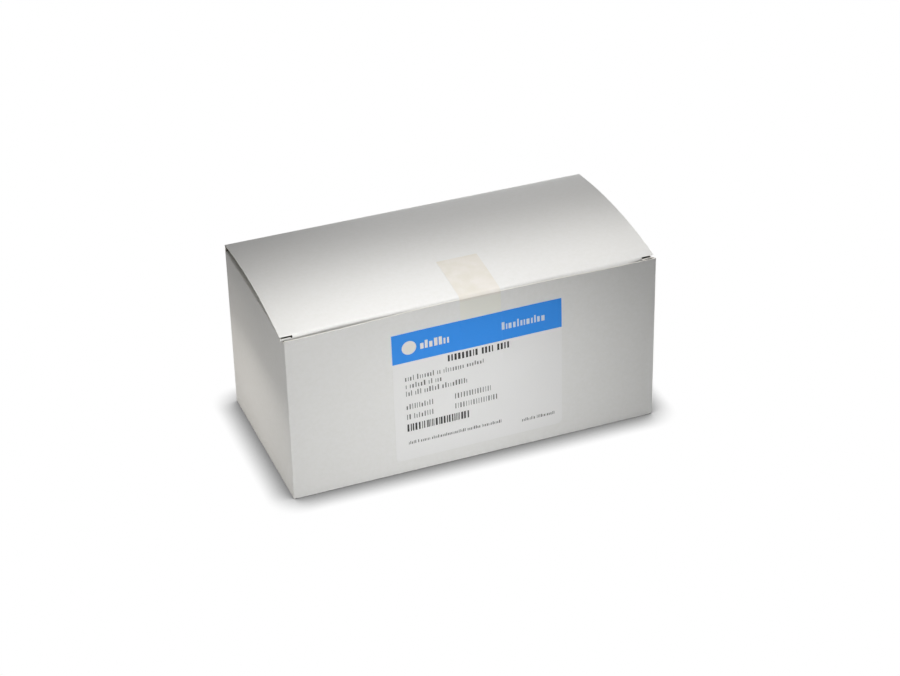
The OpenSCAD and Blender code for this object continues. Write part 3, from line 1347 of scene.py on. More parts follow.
@dataclass
class ClosureTape:
    """The strip of tape from the lid, over the front crease and down under the label."""

    form: CartonForm
    left: float
    right: float
    lid_reach: float
    front_foot: float
    thickness: float = 0.1 * MM
    rise: float = 0.02 * MM
    teeth: int = 20
    tooth: float = 0.6 * MM
    crinkle: float = 0.16 * MM
    crinkle_size: float = 1.3 * MM
    crinkle_reach: float = 2.6 * MM
    # How much the crinkle is drawn out along X, Y and Z, as shares of its frequency
    crinkle_stretch: tuple[float, float, float] = (1.0, 0.35, 0.35)
    seed: float = 3.7
    # How far below the panel's height the strip's painted sheen begins
    painted_sheen_drop: float = 0.3 * MM
    lid_steps: int = 24
    roll_steps: int = 12
    bridge_steps: int = 3
    front_pitch: float = 1.5 * MM
    rows: int = 160

    def path(self) -> np.ndarray:
        """The tape's outer line as (y, z) points, from its end on the lid to its foot.

        Returns:
            The points, one for each step of the line.
        """
        form = self.form
        lift = self.thickness + self.rise
        end_angle = math.acos((self.lid_reach - form.arch_centre[0]) / form.arch_radius)
        lid = arc(
            form.arch_centre, form.arch_radius + lift, end_angle, form.roll_angle, self.lid_steps
        )
        middle = (self.left + self.right) / 2 - form.left
        zs = divide([self.front_foot, form.height], self.front_pitch)[::-1]
        behind = form.front_face(np.full_like(zs, middle), zs)
        front = np.stack([behind - lift, zs], 1)
        # Between the rolled crease and the panel's cut edge the tape is pulled straight
        to_roll = form.roll_centre - front[0]
        reach = float(np.linalg.norm(to_roll))
        slope = math.atan2(to_roll[1], to_roll[0])
        touch = slope + math.asin(min(1.0, (form.roll + lift) / reach)) + math.pi / 2
        roll = arc(form.roll_centre, form.roll + lift, form.roll_angle, touch, self.roll_steps)
        bridge = np.linspace(roll[-1], front[0], self.bridge_steps + 1)[1:]
        return np.vstack([lid, roll[1:], bridge, front[1:]])

    def strip_tree(self) -> bpy.types.NodeTree:
        """Builds the node tree that lays a strip along a line, with torn teeth and a crinkle.

        Returns:
            The tree. Its inputs are the line, the strip's width, teeth and rows, the teeth's
            height, the crinkle's height, size, level, reach and seed, and the material.
        """
        inputs = {
            "Line": "Geometry",
            "Width": "Float",
            "Teeth": "Int",
            "Rows": "Int",
            "Tooth Height": "Float",
            "Crinkle Height": "Float",
            "Crinkle Size": "Float",
            "Crinkle Z": "Float",
            "Crinkle Reach": "Float",
            "Seed": "Float",
            "Material": "Material",
        }
        tree, given = start_tree("tape_strip", inputs, "Strip")
        curve = add_node(tree, "GeometryNodeMeshToCurve", links={"Mesh": given["Line"]})
        # Two columns of the grid for each tooth: a valley and a tip
        columns = add_node(
            tree,
            "ShaderNodeMath",
            {"operation": "MULTIPLY_ADD"},
            {0: given["Teeth"], 1: 2.0, 2: 1.0},
        )
        grid = add_node(
            tree,
            "GeometryNodeMeshGrid",
            links={
                "Size X": given["Width"],
                "Size Y": 1.0,
                "Vertices X": columns.outputs[0],
                "Vertices Y": given["Rows"],
            },
        )
        flat = add_node(tree, "GeometryNodeInputPosition")
        across = add_node(tree, "ShaderNodeSeparateXYZ", links={"Vector": flat.outputs["Position"]})
        along = add_node(
            tree, "ShaderNodeMath", {"operation": "SUBTRACT"}, {0: 0.5, 1: across.outputs["Y"]}
        )
        sample = add_node(
            tree,
            "GeometryNodeSampleCurve",
            {"mode": "FACTOR", "data_type": "FLOAT_VECTOR"},
            {"Curves": curve.outputs["Curve"], "Factor": along.outputs[0]},
        )
        on_line = add_node(
            tree, "ShaderNodeSeparateXYZ", links={"Vector": sample.outputs["Position"]}
        )
        middle_x = add_node(
            tree,
            "ShaderNodeMath",
            {"operation": "ADD"},
            {0: across.outputs["X"], 1: on_line.outputs["X"]},
        )
        laid = add_node(
            tree,
            "ShaderNodeCombineXYZ",
            links={"X": middle_x.outputs[0], "Y": on_line.outputs["Y"], "Z": on_line.outputs["Z"]},
        )
        # Teeth: the two end rows step in along the strip at every second column
        half_pitch = add_node(
            tree, "ShaderNodeMath", {"operation": "DIVIDE"}, {0: given["Width"], 1: given["Teeth"]}
        )
        wave = add_node(
            tree,
            "ShaderNodeMath",
            {"operation": "PINGPONG"},
            {
                0: across.outputs["X"],
                1: add_node(
                    tree,
                    "ShaderNodeMath",
                    {"operation": "MULTIPLY"},
                    {0: half_pitch.outputs[0], 1: 0.5},
                ).outputs[0],
            },
        )
        tooth_share = add_node(
            tree,
            "ShaderNodeMath",
            {"operation": "DIVIDE"},
            {0: wave.outputs[0], 1: half_pitch.outputs[0]},
        )
        tooth = add_node(
            tree,
            "ShaderNodeMath",
            {"operation": "MULTIPLY"},
            {0: tooth_share.outputs[0], 1: given["Tooth Height"]},
        )
        # Only the rows at the strip's two ends lie this near to 0 or 1 along it
        near_end = 0.0001
        first_row = add_node(
            tree,
            "FunctionNodeCompare",
            {"data_type": "FLOAT", "operation": "LESS_THAN"},
            {0: along.outputs[0], 1: near_end},
        )
        last_row = add_node(
            tree,
            "FunctionNodeCompare",
            {"data_type": "FLOAT", "operation": "GREATER_THAN"},
            {0: along.outputs[0], 1: 1 - near_end},
        )
        way = add_node(
            tree,
            "ShaderNodeMath",
            {"operation": "SUBTRACT"},
            {0: first_row.outputs[0], 1: last_row.outputs[0]},
        )
        step = add_node(
            tree,
            "ShaderNodeMath",
            {"operation": "MULTIPLY"},
            {0: tooth.outputs[0], 1: way.outputs[0]},
        )
        step_twice = add_node(
            tree, "ShaderNodeMath", {"operation": "MULTIPLY"}, {0: step.outputs[0], 1: 2.0}
        )
        teeth_offset = add_node(
            tree,
            "ShaderNodeVectorMath",
            {"operation": "SCALE"},
            {0: sample.outputs["Tangent"], 3: step_twice.outputs[0]},
        )
        # Crinkle: the strip buckles where it is bent over the crease
        noise_place = add_node(
            tree,
            "ShaderNodeVectorMath",
            {"operation": "MULTIPLY"},
            {0: laid.outputs["Vector"], 1: self.crinkle_stretch},
        )
        frequency = add_node(
            tree, "ShaderNodeMath", {"operation": "DIVIDE"}, {0: 1.0, 1: given["Crinkle Size"]}
        )
        noise = add_node(
            tree,
            "ShaderNodeTexNoise",
            {"noise_dimensions": "4D"},
            {
                "Vector": noise_place.outputs[0],
                "W": given["Seed"],
                "Scale": frequency.outputs[0],
                "Detail": 3.0,
            },
        )
        from_crease = add_node(
            tree,
            "ShaderNodeMath",
            {"operation": "SUBTRACT"},
            {0: on_line.outputs["Z"], 1: given["Crinkle Z"]},
        )
        distance = add_node(
            tree, "ShaderNodeMath", {"operation": "ABSOLUTE"}, {0: from_crease.outputs[0]}
        )
        near = add_node(
            tree,
            "ShaderNodeMapRange",
            {"interpolation_type": "SMOOTHSTEP"},
            {
                "Value": distance.outputs[0],
                "From Min": 0.0,
                "From Max": given["Crinkle Reach"],
                "To Min": given["Crinkle Height"],
                "To Max": 0.0,
            },
        )
        swell = add_node(
            tree,
            "ShaderNodeMath",
            {"operation": "MULTIPLY"},
            {0: noise.outputs["Fac"], 1: near.outputs["Result"]},
        )
        # Outwards is the line's tangent turned a quarter about X
        outward = add_node(
            tree,
            "ShaderNodeVectorMath",
            {"operation": "CROSS_PRODUCT"},
            {0: (-1.0, 0.0, 0.0), 1: sample.outputs["Tangent"]},
        )
        crinkle_offset = add_node(
            tree,
            "ShaderNodeVectorMath",
            {"operation": "SCALE"},
            {0: outward.outputs[0], 3: swell.outputs[0]},
        )
        offset = add_node(
            tree,
            "ShaderNodeVectorMath",
            {"operation": "ADD"},
            {0: teeth_offset.outputs[0], 1: crinkle_offset.outputs[0]},
        )
        strip = add_node(
            tree,
            "GeometryNodeSetPosition",
            links={
                "Geometry": grid.outputs["Mesh"],
                "Position": laid.outputs["Vector"],
                "Offset": offset.outputs[0],
            },
        )
        return end_tree(tree, strip.outputs[0], given["Material"], "Strip")

    def build(self) -> bpy.types.Object:
        """Lays the tape along its line and gives it its thickness.

        Returns:
            The strip of tape.
        """
        path = self.path()
        middle = (self.left + self.right) / 2 - self.form.left
        points = self.form.place(np.column_stack([np.full(len(path), middle), path]))
        line = bpy.data.meshes.new("tape_line")
        line.from_pydata(points.tolist(), [(i, i + 1) for i in range(len(points) - 1)], [])
        material = PackingTape(self.form.height - self.painted_sheen_drop).material()
        piece = grown(
            "closure_tape_strip",
            self.strip_tree(),
            {
                "Width": self.right - self.left,
                "Teeth": self.teeth,
                "Rows": self.rows,
                "Tooth Height": self.tooth,
                "Crinkle Height": self.crinkle,
                "Crinkle Size": self.crinkle_size,
                "Crinkle Z": self.form.height + self.form.lid_lift,
                "Crinkle Reach": self.crinkle_reach,
                "Seed": self.seed,
                "Material": material,
            },
            line,
        )
        mesh = piece.data
        bpy.data.objects.remove(piece)
        return board_piece("closure_tape_strip", mesh, self.thickness, [])


def grown(
    name: str, tree: bpy.types.NodeTree, sizes: dict[str, Any], mesh: bpy.types.Mesh | None = None
) -> bpy.types.Object:
    """Runs a geometry tree and keeps its result as a plain mesh.

    Args:
        name: The piece's name.
        tree: The geometry tree.
        sizes: A value for each of the tree's inputs, by the input's name.
        mesh: What the tree starts from, or None.

    Returns:
        The piece, with no modifier left on it.
    """
    piece = bpy.data.objects.new(name, mesh or bpy.data.meshes.new(name))
    bpy.context.scene.collection.objects.link(piece)
    modifier = piece.modifiers.new(name, "NODES")
    modifier.node_group = tree
    for item in tree.interface.items_tree:
        if item.item_type == "SOCKET" and item.in_out == "INPUT" and item.name in sizes:
            modifier[item.identifier] = sizes[item.name]
    return plain_copy(piece)


# --- The label ---


class Ink(Enum):
    """The inks on the label."""

    WHITE = "#F2EFEA"
    PALE = "#DCE8F6"
    BLACK = "#2E2E2E"
    GREY = "#636361"
    DARK_GREY = "#4C4C4B"


@dataclass(frozen=True)
class BlockRow:
    """A row of plain printed blocks that stands for a line of print.

    Attributes:
        left: Distance of the row's start from the label's left edge.
        base: Distance of the row's base line from the label's top edge.
        length: The row's length.
        low: Height of its low blocks.
        high: Height of its high blocks.
        widths: The narrowest and the widest block.
        gaps: The narrowest and the widest gap inside a word.
        word_gap: The gap between two words.
        words: The share of gaps that are word gaps.
        highs: The share of high blocks.
        ink: The ink.
        seed: What the row's random numbers start from.
    """

    left: float
    base: float
    length: float
    low: float
    high: float
    widths: tuple[float, float]
    gaps: tuple[float, float]
    word_gap: float
    words: float
    highs: float
    ink: Ink
    seed: int


@dataclass(frozen=True)
class PrintShape:
    """The proportions of a line of print, as shares of the height of its high blocks."""

    low: float = 0.72
    narrow: float = 0.14
    wide: float = 0.42
    # The blocks' mean width, which a light row gives up to its gaps in part
    mean_width: float = 0.28
    gap_min: float = 0.15
    gap_max: float = 0.22
    word_gap: float = 0.62


def text_row(
    left: float,
    base: float,
    length: float,
    height: float,
    ink: Ink,
    seed: int,
    highs: float = 0.35,
    words: float = 0.1,
    weight: float = 1.0,
) -> BlockRow:
    """A row of blocks in the proportions of a line of print, in millimetres.

    Args:
        left: Distance of the row's start from the label's left edge.
        base: Distance of the row's base line from the label's top edge.
        length: The row's length.
        height: The height of its high blocks.
        ink: The ink.
        seed: What its random numbers start from.
        highs: The share of high blocks.
        words: The share of gaps that are word gaps.
        weight: How heavy the print is: the blocks' width, against a bold row's.

    Returns:
        The row.
    """
    tall = height * MM
    shape = PrintShape()
    thinned = shape.mean_width * tall * (1 - weight)
    return BlockRow(
        left=left * MM,
        base=base * MM,
        length=length * MM,
        low=shape.low * tall,
        high=tall,
        widths=(shape.narrow * tall * weight, shape.wide * tall * weight),
        gaps=(shape.gap_min * tall + thinned, shape.gap_max * tall + thinned),
        word_gap=shape.word_gap * tall,
        words=words,
        highs=highs,
        ink=ink,
        seed=seed,
    )


@dataclass
class PrintedLabel:
    """The label on the front panel, draped over the tape, with its blue band and its print."""

    form: CartonForm
    tape_left: float
    tape_right: float
    tape_foot: float
    middle_x: float
    middle_z: float = 52.1 * MM
    width: float = 104.5 * MM
    height: float = 86 * MM
    thickness: float = 0.15 * MM
    rise: float = 0.02 * MM
    turn: float = math.radians(0.3)
    corner: float = 3 * MM
    band: float = 19.2 * MM
    tape_step: float = 0.12 * MM
    drape: float = 0.6 * MM
    pitch: float = 2.5 * MM
    # Ink is drawn thicker than it is, so that it clears the paper's bends
    ink_thickness: float = 0.05 * MM
    mark_middle: tuple[float, float] = (10.4 * MM, 9.9 * MM)
    mark_radius: float = 4.4 * MM
    mark_sides: int = 40
    mark_rings: int = 7
    # Share of the mark's area inside its innermost ring
    mark_core: float = 0.02
    corner_steps: int = 8
    # The most blocks that a row can hold
    most_blocks: int = 90
    rows: tuple[BlockRow, ...] = (
        text_row(17.2, 12.4, 19.8, 5.2, Ink.WHITE, 3, 0.4, 0.0),
        text_row(67.2, 12.2, 28.4, 4.9, Ink.PALE, 12, 0.3, 0.0),
        text_row(33.6, 24.9, 41.0, 4.2, Ink.BLACK, 11, 1.0, weight=0.88),
        text_row(7.2, 31.8, 48.5, 3.4, Ink.GREY, 4, weight=0.62),
        text_row(7.4, 36.9, 22.0, 3.4, Ink.GREY, 8, weight=0.62),
        text_row(7.4, 42.0, 37.8, 3.4, Ink.GREY, 15, weight=0.62),
        text_row(7.4, 51.2, 16.8, 3.5, Ink.GREY, 21, 0.8, weight=0.6),
        text_row(37.3, 51.2, 23.0, 3.5, Ink.GREY, 5, 1.0, 0.0, weight=0.53),
        text_row(7.5, 58.1, 16.8, 3.5, Ink.GREY, 33, 0.8, weight=0.6),
        text_row(37.3, 58.1, 26.2, 3.5, Ink.GREY, 9, 1.0, 0.0, weight=0.53),
        text_row(8.0, 75.5, 58.6, 2.1, Ink.DARK_GREY, 2, weight=0.75),
        text_row(79.0, 78.5, 21.8, 2.1, Ink.DARK_GREY, 6, weight=0.7),
    )

    def surface(self, u: np.ndarray, v: np.ndarray, lift: np.ndarray | float) -> np.ndarray:
        """Points on the label as it lies on the panel.

        Args:
            u: Distances from the label's left edge.
            v: Distances from its top edge.
            lift: Heights above its face.

        Returns:
            The points in the shared frame.
        """
        across, up = u - self.width / 2, self.height / 2 - v
        cos, sin = math.cos(self.turn), math.sin(self.turn)
        x = self.middle_x - self.form.left + across * cos - up * sin
        z = self.middle_z + across * sin + up * cos
        inner = self.tape_left - self.form.left, self.tape_right - self.form.left
        beside = np.maximum(inner[0] - x, x - inner[1])
        below = self.tape_foot - z
        away = np.maximum(np.maximum(beside, below), 0.0)
        over_tape = self.tape_step * (1 - smooth(away / self.drape))
        y = self.form.front_face(x, z) - self.rise - self.thickness - over_tape - lift
        return self.form.place(np.stack([x, y, z], -1))

    def columns(self) -> np.ndarray:
        """Distances from the label's left edge at which it is divided, close at the tape.

        Returns:
            The distances, rising.
        """
        start = self.middle_x - self.width / 2
        left, right = self.tape_left - start, self.tape_right - start
        near = 2 * self.drape
        coarse = divide([0, left - near, right + near, self.width], self.pitch)
        fine = [divide([edge - near, edge + near], self.drape / 4) for edge in (left, right)]
        # Rounded to a ten-thousandth of a millimetre, so that no two are all but the same
        return np.unique(np.round(np.concatenate([coarse, *fine]), 7))

    def sheet(self) -> bpy.types.Object:
        """Builds the label's paper, whose top band is printed blue.

        Returns:
            The label's paper.
        """
        straight = self.height - self.corner
        turn = np.linspace(0, math.pi / 2, self.corner_steps + 1)[1:]
        down = np.concatenate(
            [divide([0, self.band, straight], self.pitch), straight + self.corner * np.sin(turn)]
        )
        share = self.columns() / self.width
        grid = np.empty((len(down), len(share), 3))
        for row, v in zip(grid, down[::-1]):
            past = max(0.0, v - straight)
            inset = self.corner - math.sqrt(max(0.0, self.corner**2 - past**2))
            u = inset + (self.width - 2 * inset) * share
            row[:] = self.surface(u, np.full_like(u, v), 0.0)
        paper = Sheet()
        split = int(np.argmin(np.abs(down[::-1] - self.band)))
        paper.patch(grid[: split + 1])
        paper.patch(grid[split:], 1)
        materials = [
            LabelStock("label_paper_white", "#F4F4F4").material(),
            LabelStock("label_ink_blue", "#2894F8", roughness=0.5).material(),
        ]
        mesh = paper.mesh("front_label")
        return board_piece("front_label", mesh, self.thickness, materials)

    def block_tree(self) -> bpy.types.NodeTree:
        """Builds the node tree that prints a row of plain blocks on a flat strip.

        Returns:
            The tree. Its inputs are the row's sizes, shares and seed, and its ink.
        """
        sizes = (
            "Length",
            "Low",
            "High",
            "Width Min",
            "Width Max",
            "Gap Min",
            "Gap Max",
            "Word Gap",
            "Words",
            "Highs",
            "Ink Thickness",
        )
        inputs = {**dict.fromkeys(sizes, "Float"), "Seed": "Int", "Ink": "Material"}
        tree, given = start_tree("printed_blocks", inputs, "Blocks")

        def drawn(low: Any, high: Any, offset: int) -> bpy.types.NodeSocket:
            """A random number for each block, between low and high.

            Args:
                low: The least it may be, as a number or a socket.
                high: The most it may be, as a number or a socket.
                offset: What the seed is raised by, so that no two draws are alike.

            Returns:
                The socket that holds the numbers.
            """
            seed = add_node(
                tree, "ShaderNodeMath", {"operation": "ADD"}, {0: given["Seed"], 1: offset}
            )
            random = add_node(
                tree,
                "FunctionNodeRandomValue",
                {"data_type": "FLOAT"},
                {2: low, 3: high, "Seed": seed.outputs[0]},
            )
            return random.outputs[1]

        width = drawn(given["Width Min"], given["Width Max"], 0)
        small_gap = drawn(given["Gap Min"], given["Gap Max"], 100)
        ends_word = add_node(
            tree,
            "FunctionNodeCompare",
            {"data_type": "FLOAT", "operation": "LESS_THAN"},
            {0: drawn(0.0, 1.0, 200), 1: given["Words"]},
        )
        gap = add_node(
            tree,
            "GeometryNodeSwitch",
            {"input_type": "FLOAT"},
            {0: ends_word.outputs[0], 1: small_gap, 2: given["Word Gap"]},
        )
        is_high = add_node(
            tree,
            "FunctionNodeCompare",
            {"data_type": "FLOAT", "operation": "LESS_THAN"},
            {0: drawn(0.0, 1.0, 300), 1: given["Highs"]},
        )
        height = add_node(
            tree,
            "GeometryNodeSwitch",
            {"input_type": "FLOAT"},
            {0: is_high.outputs[0], 1: given["Low"], 2: given["High"]},
        )
        pitch = add_node(
            tree, "ShaderNodeMath", {"operation": "ADD"}, {0: width, 1: gap.outputs[0]}
        )
        start = add_node(
            tree,
            "GeometryNodeAccumulateField",
            {"data_type": "FLOAT", "domain": "POINT"},
            {0: pitch.outputs[0]},
        )
        half_width = add_node(tree, "ShaderNodeMath", {"operation": "MULTIPLY"}, {0: width, 1: 0.5})
        middle = add_node(
            tree,
            "ShaderNodeMath",
            {"operation": "ADD"},
            {0: start.outputs["Trailing"], 1: half_width.outputs[0]},
        )
        end = add_node(
            tree,
            "ShaderNodeMath",
            {"operation": "ADD"},
            {0: middle.outputs[0], 1: half_width.outputs[0]},
        )
        half_height = add_node(
            tree, "ShaderNodeMath", {"operation": "MULTIPLY"}, {0: height.outputs[0], 1: 0.5}
        )
        place = add_node(
            tree,
            "ShaderNodeCombineXYZ",
            links={"X": middle.outputs[0], "Y": half_height.outputs[0]},
        )
        points = add_node(
            tree,
            "GeometryNodeMeshLine",
            {"mode": "OFFSET"},
            {"Count": self.most_blocks, "Offset": (0, 0, 0)},
        )
        placed = add_node(
            tree,
            "GeometryNodeSetPosition",
            links={"Geometry": points.outputs[0], "Position": place.outputs[0]},
        )
        fits = add_node(
            tree,
            "FunctionNodeCompare",
            {"data_type": "FLOAT", "operation": "LESS_EQUAL"},
            {0: end.outputs[0], 1: given["Length"]},
        )
        block = add_node(
            tree,
            "GeometryNodeMeshCube",
            links={"Size": (1.0, 1.0, 1.0), "Vertices X": 5, "Vertices Y": 3, "Vertices Z": 2},
        )
        size = add_node(
            tree,
            "ShaderNodeCombineXYZ",
            links={"X": width, "Y": height.outputs[0], "Z": given["Ink Thickness"]},
        )
        blocks = add_node(
            tree,
            "GeometryNodeInstanceOnPoints",
            links={
                "Points": placed.outputs[0],
                "Selection": fits.outputs[0],
                "Instance": block.outputs["Mesh"],
                "Scale": size.outputs[0],
            },
        )
        return end_tree(tree, blocks.outputs[0], given["Ink"], "Blocks")

    def bar_row(self) -> BlockRow:
        """The row of upright bars, in widths that mean nothing.

        Returns:
            The row.
        """
        tall = 5.0 * MM
        return BlockRow(
            left=7.4 * MM,
            base=66.4 * MM,
            length=40.2 * MM,
            low=tall,
            high=tall,
            widths=(0.3 * MM, 1.3 * MM),
            gaps=(0.3 * MM, 1.1 * MM),
            word_gap=0.0,
            words=0.0,
            highs=0.0,
            ink=Ink.BLACK,
            seed=40,
        )

    def mark(self, ink: bpy.types.Material) -> bpy.types.Object:
        """The plain disc in the blue band.

        Args:
            ink: The disc's ink.

        Returns:
            The disc.
        """
        radii = self.mark_radius * np.sqrt(np.linspace(self.mark_core, 1, self.mark_rings))[::-1]
        angles = np.linspace(0, 2 * math.pi, self.mark_sides + 1)
        u = self.mark_middle[0] + radii[:, None] * np.cos(angles)
        v = self.mark_middle[1] - radii[:, None] * np.sin(angles)
        disc = Sheet()
        disc.patch(self.surface(u, v, self.ink_thickness / 2))
        middle = [np.full((1, len(angles)), place) for place in self.mark_middle]
        inner = np.vstack([u[-1:], middle[0]]), np.vstack([v[-1:], middle[1]])
        disc.patch(self.surface(*inner, self.ink_thickness / 2))
        return board_piece("label_mark", disc.mesh("label_mark"), self.ink_thickness, [ink])

    def print_row(
        self, name: str, row: BlockRow, tree: bpy.types.NodeTree, ink: bpy.types.Material
    ) -> bpy.types.Object:
        """Prints one row and lays it on the label.

        Args:
            name: The piece's name.
            row: The row's sizes.
            tree: The tree that prints a row.
            ink: The row's ink.

        Returns:
            The row of blocks.
        """
        piece = grown(
            name,
            tree,
            {
                "Length": row.length,
                "Low": row.low,
                "High": row.high,
                "Width Min": row.widths[0],
                "Width Max": row.widths[1],
                "Gap Min": row.gaps[0],
                "Gap Max": row.gaps[1],
                "Word Gap": row.word_gap,
                "Words": row.words,
                "Highs": row.highs,
                "Ink Thickness": self.ink_thickness,
                "Seed": row.seed,
                "Ink": ink,
            },
        )
        count = len(piece.data.vertices)
        flat = np.empty(count * 3)
        piece.data.vertices.foreach_get("co", flat)
        flat = flat.reshape(-1, 3)
        laid = self.surface(row.left + flat[:, 0], row.base - flat[:, 1], flat[:, 2])
        piece.data.vertices.foreach_set("co", laid.ravel())
        piece.data.update()
        return piece

    def build(self) -> list[bpy.types.Object]:
        """Builds the label and its print.

        Returns:
            The label's paper, then its rows of print.
        """
        tree = self.block_tree()
        inks = {
            ink: LabelStock(f"label_ink_{ink.name.lower()}", ink.value).material() for ink in Ink
        }
        pieces = [self.sheet(), self.mark(inks[Ink.WHITE])]
        rows = (*self.rows, self.bar_row())
        for number, row in enumerate(rows, 1):
            pieces.append(self.print_row(f"label_print_{number:02d}", row, tree, inks[row.ink]))
        return pieces


# --- The studio ---


@dataclass(frozen=True)
class Softbox:
    """A studio lamp with a plain rectangular face, aimed at the carton or the table.

    Attributes:
        name: What the lamp is called.
        place: Where it hangs.
        aim: The point that it faces.
        size: The width and height of its face.
        power: How much light it gives, in watts.
        colour: The colour of its light.
    """

    name: str
    place: tuple[float, float, float]
    aim: tuple[float, float, float]
    size: tuple[float, float]
    power: float
    colour: str = "#FFFFFF"

    def light(self) -> None:
        """Hangs the lamp in the studio."""
        data = bpy.data.lights.new(self.name, "AREA")
        data.shape = "RECTANGLE"
        data.size, data.size_y = self.size
        data.energy = self.power
        data.color = linear(self.colour)[:3]
        lamp = bpy.data.objects.new(self.name, data)
        lamp.visible_camera = False
        lamp.location = self.place
        way = Vector(self.aim) - Vector(self.place)
        lamp.rotation_euler = way.to_track_quat("-Z", "Y").to_euler()
        bpy.context.scene.collection.objects.link(lamp)


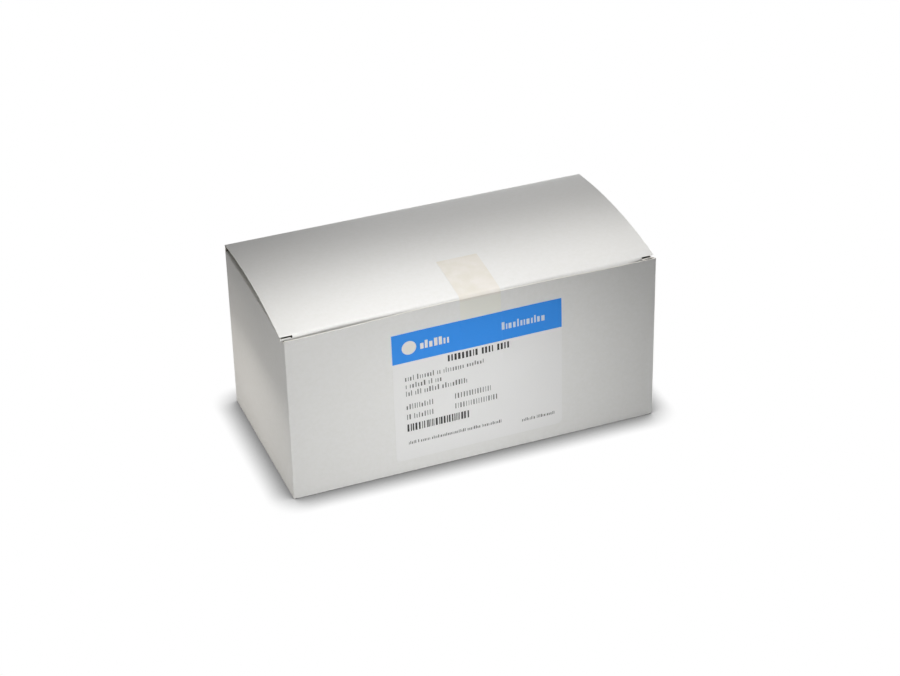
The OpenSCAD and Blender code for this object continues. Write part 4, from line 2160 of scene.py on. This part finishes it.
@dataclass
class Studio:
    """Floor, lamps and camera round the carton.

    Attributes:
        floor_size: Length of the floor's sides.
        floor_colour: The colour with which the floor lights the carton.
        painted_shadow_reach: How far from what stands on it the floor's painted shadow reaches.
        painted_shadow_power: How fast that painted shadow fades.
        contact_samples: How finely it is sampled.
        camera_place: Where the camera stands.
        camera_azimuth: The heading it looks along, in degrees.
        camera_elevation: How far it looks down, in degrees.
        camera_roll: How far it leans, in degrees.
        lens: Its focal length, in millimetres.
        sensor: The width of its sensor, in millimetres.
        lamps: The lamps.
    """

    floor_size: float = 6.0
    floor_colour: str = "#E6E6E6"
    painted_shadow_reach: float = 16 * MM
    painted_shadow_power: float = 2.0
    contact_samples: int = 16
    camera_place: tuple[float, float, float] = (-0.4407, -1.1865, 0.8483)
    camera_azimuth: float = 20.63
    camera_elevation: float = 32.26
    camera_roll: float = -1.30
    lens: float = 100.46
    sensor: float = 36.0
    lamps: tuple[Softbox, ...] = (
        Softbox("key", (-0.09, -0.08, 0.2), (0.0, 0.0, 0.06), (0.12, 0.12), 0.0676, "#FEFEFF"),
        Softbox("key_left", (-0.16, -0.1, 0.24), (0.0, 0.0, 0.06), (0.1, 0.1), 0.087, "#FFFCF5"),
        Softbox("strip", (0.05, -0.055, 0.2), (0.05, -0.055, 0.0), (0.22, 0.05), 0.0935, "#FFFEFD"),
        Softbox("right", (0.12, -0.03, 0.2), (0.0, 0.0, 0.06), (0.12, 0.12), 0.0209, "#FFFDF8"),
        Softbox("table_front", (0.0, -0.19, 0.13), (0.0, -0.19, 0.0), (0.1, 0.1), 0.174, "#FFFFFD"),
        Softbox("table_side", (-0.2, -0.25, 0.15), (-0.2, -0.25, 0.0), (0.1, 0.1), 0.2286),
        Softbox("table_left", (-0.2, 0.0, 0.07), (-0.2, 0.0, 0.0), (0.1, 0.1), 0.032, "#FFFBF3"),
        Softbox("table_mid", (-0.2, 0.04, 0.1), (-0.2, 0.04, 0.0), (0.08, 0.08), 0.024, "#FFF9F0"),
        Softbox("table_back", (-0.2, 0.09, 0.07), (-0.2, 0.09, 0.0), (0.1, 0.1), 0.026, "#FFF8EF"),
        Softbox("fill_back", (0.25, 0.5, 0.1), (0.08, 0.05, 0.05), (0.3, 0.1), 0.9),
        Softbox("fill_right", (0.55, 0.02, 0.09), (0.1, 0.0, 0.05), (0.2, 0.1), 0.6),
    )

    def seen_share(self, tree: bpy.types.NodeTree) -> bpy.types.NodeSocket:
        """Adds the share of a ray that sees the white backdrop: straight, or in a shine or glass.

        Args:
            tree: The material or world whose backdrop it is.

        Returns:
            The socket that holds 1 for such a ray and 0 for one that only carries light.
        """
        path = add_node(tree, "ShaderNodeLightPath")
        share = path.outputs["Is Camera Ray"]
        for kind in ("Is Glossy Ray", "Is Transmission Ray"):
            either = add_node(
                tree, "ShaderNodeMath", {"operation": "MAXIMUM"}, {0: share, 1: path.outputs[kind]}
            )
            share = either.outputs[0]
        return share

    def floor(self) -> bpy.types.Object:
        """Builds the white floor, with a shadow painted close round what stands on it.

        Returns:
            The floor.
        """
        mesh = bpy.data.meshes.new("floor")
        half = self.floor_size / 2
        mesh.from_pydata(
            [(-half, -half, 0), (half, -half, 0), (half, half, 0), (-half, half, 0)],
            [],
            [(0, 1, 2, 3)],
        )
        floor = bpy.data.objects.new("floor", mesh)
        bpy.context.scene.collection.objects.link(floor)
        material = bpy.data.materials.new("studio_floor")
        material.use_nodes = True
        tree = material.node_tree
        tree.nodes.clear()
        # Painted contact shadow: seen by the camera, the floor glows white, dimmed by its ambient
        # occlusion
        open_share = add_node(
            tree,
            "ShaderNodeAmbientOcclusion",
            {"samples": self.contact_samples},
            {"Distance": self.painted_shadow_reach},
        )
        depth = add_node(
            tree,
            "ShaderNodeMath",
            {"operation": "POWER"},
            {0: open_share.outputs["AO"], 1: self.painted_shadow_power},
        )
        seen = add_node(
            tree, "ShaderNodeEmission", links={"Color": depth.outputs[0], "Strength": 1.0}
        )
        lit = add_node(tree, "ShaderNodeBsdfDiffuse", links={"Color": linear(self.floor_colour)})
        mix = add_node(
            tree,
            "ShaderNodeMixShader",
            links={0: self.seen_share(tree), 1: lit.outputs[0], 2: seen.outputs[0]},
        )
        add_node(tree, "ShaderNodeOutputMaterial", links={"Surface": mix.outputs[0]})
        mesh.materials.append(material)
        return floor

    def world(self) -> None:
        """Sets the plain white surround, which is seen but casts no light."""
        world = bpy.data.worlds.new("studio")
        bpy.context.scene.world = world
        world.use_nodes = True
        tree = world.node_tree
        background = tree.nodes["Background"]
        background.inputs["Color"].default_value = (1.0, 1.0, 1.0, 1.0)
        tree.links.new(self.seen_share(tree), background.inputs["Strength"])

    def camera(self) -> None:
        """Stands the camera and makes it the scene's."""
        data = bpy.data.cameras.new("camera")
        data.lens = self.lens
        data.sensor_width = self.sensor
        camera = bpy.data.objects.new("camera", data)
        camera.location = self.camera_place
        heading = Euler(
            (math.radians(90 - self.camera_elevation), 0.0, math.radians(-self.camera_azimuth))
        ).to_matrix()
        roll = Euler((0.0, 0.0, math.radians(self.camera_roll))).to_matrix()
        camera.rotation_euler = (heading @ roll).to_euler()
        bpy.context.scene.collection.objects.link(camera)
        bpy.context.scene.camera = camera

    def build(self) -> bpy.types.Object:
        """Builds the studio.

        Returns:
            The floor.
        """
        self.world()
        self.camera()
        for lamp in self.lamps:
            lamp.light()
        bpy.context.scene.view_settings.view_transform = "Standard"
        return self.floor()


def main() -> None:
    """Builds the carton, its tape and its label in the studio."""
    logging.basicConfig(level=logging.INFO, format="%(name)s: %(message)s")
    low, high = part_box("carton")
    form = CartonForm(left=high.x - CartonForm.width, front=low.y)

    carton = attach(FoldedCarton(form).build(), "root")
    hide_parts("carton")
    log.info("folded_carton: %d faces", len(carton.data.polygons))
    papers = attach(PackedPapers(form).build(), "root")
    log.info("packed_papers: %d faces", len(papers.data.polygons))

    tape_low, tape_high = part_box("closure_tape")
    tape = ClosureTape(form, tape_low.x, tape_high.x, tape_high.y - form.front, tape_low.z)
    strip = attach(tape.build(), "root")
    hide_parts("closure_tape")
    log.info("closure_tape_strip: %d faces", len(strip.data.polygons))

    label_low, label_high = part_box("label")
    label = PrintedLabel(
        form, tape_low.x, tape_high.x, tape_low.z, (label_low.x + label_high.x) / 2
    )
    for number, piece in enumerate(label.build()):
        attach(piece, "root")
        if number == 0:
            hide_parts("label")
        log.info("%s: %d faces", piece.name, len(piece.data.polygons))

    Studio().build()


if __name__ == "__main__":
    main()
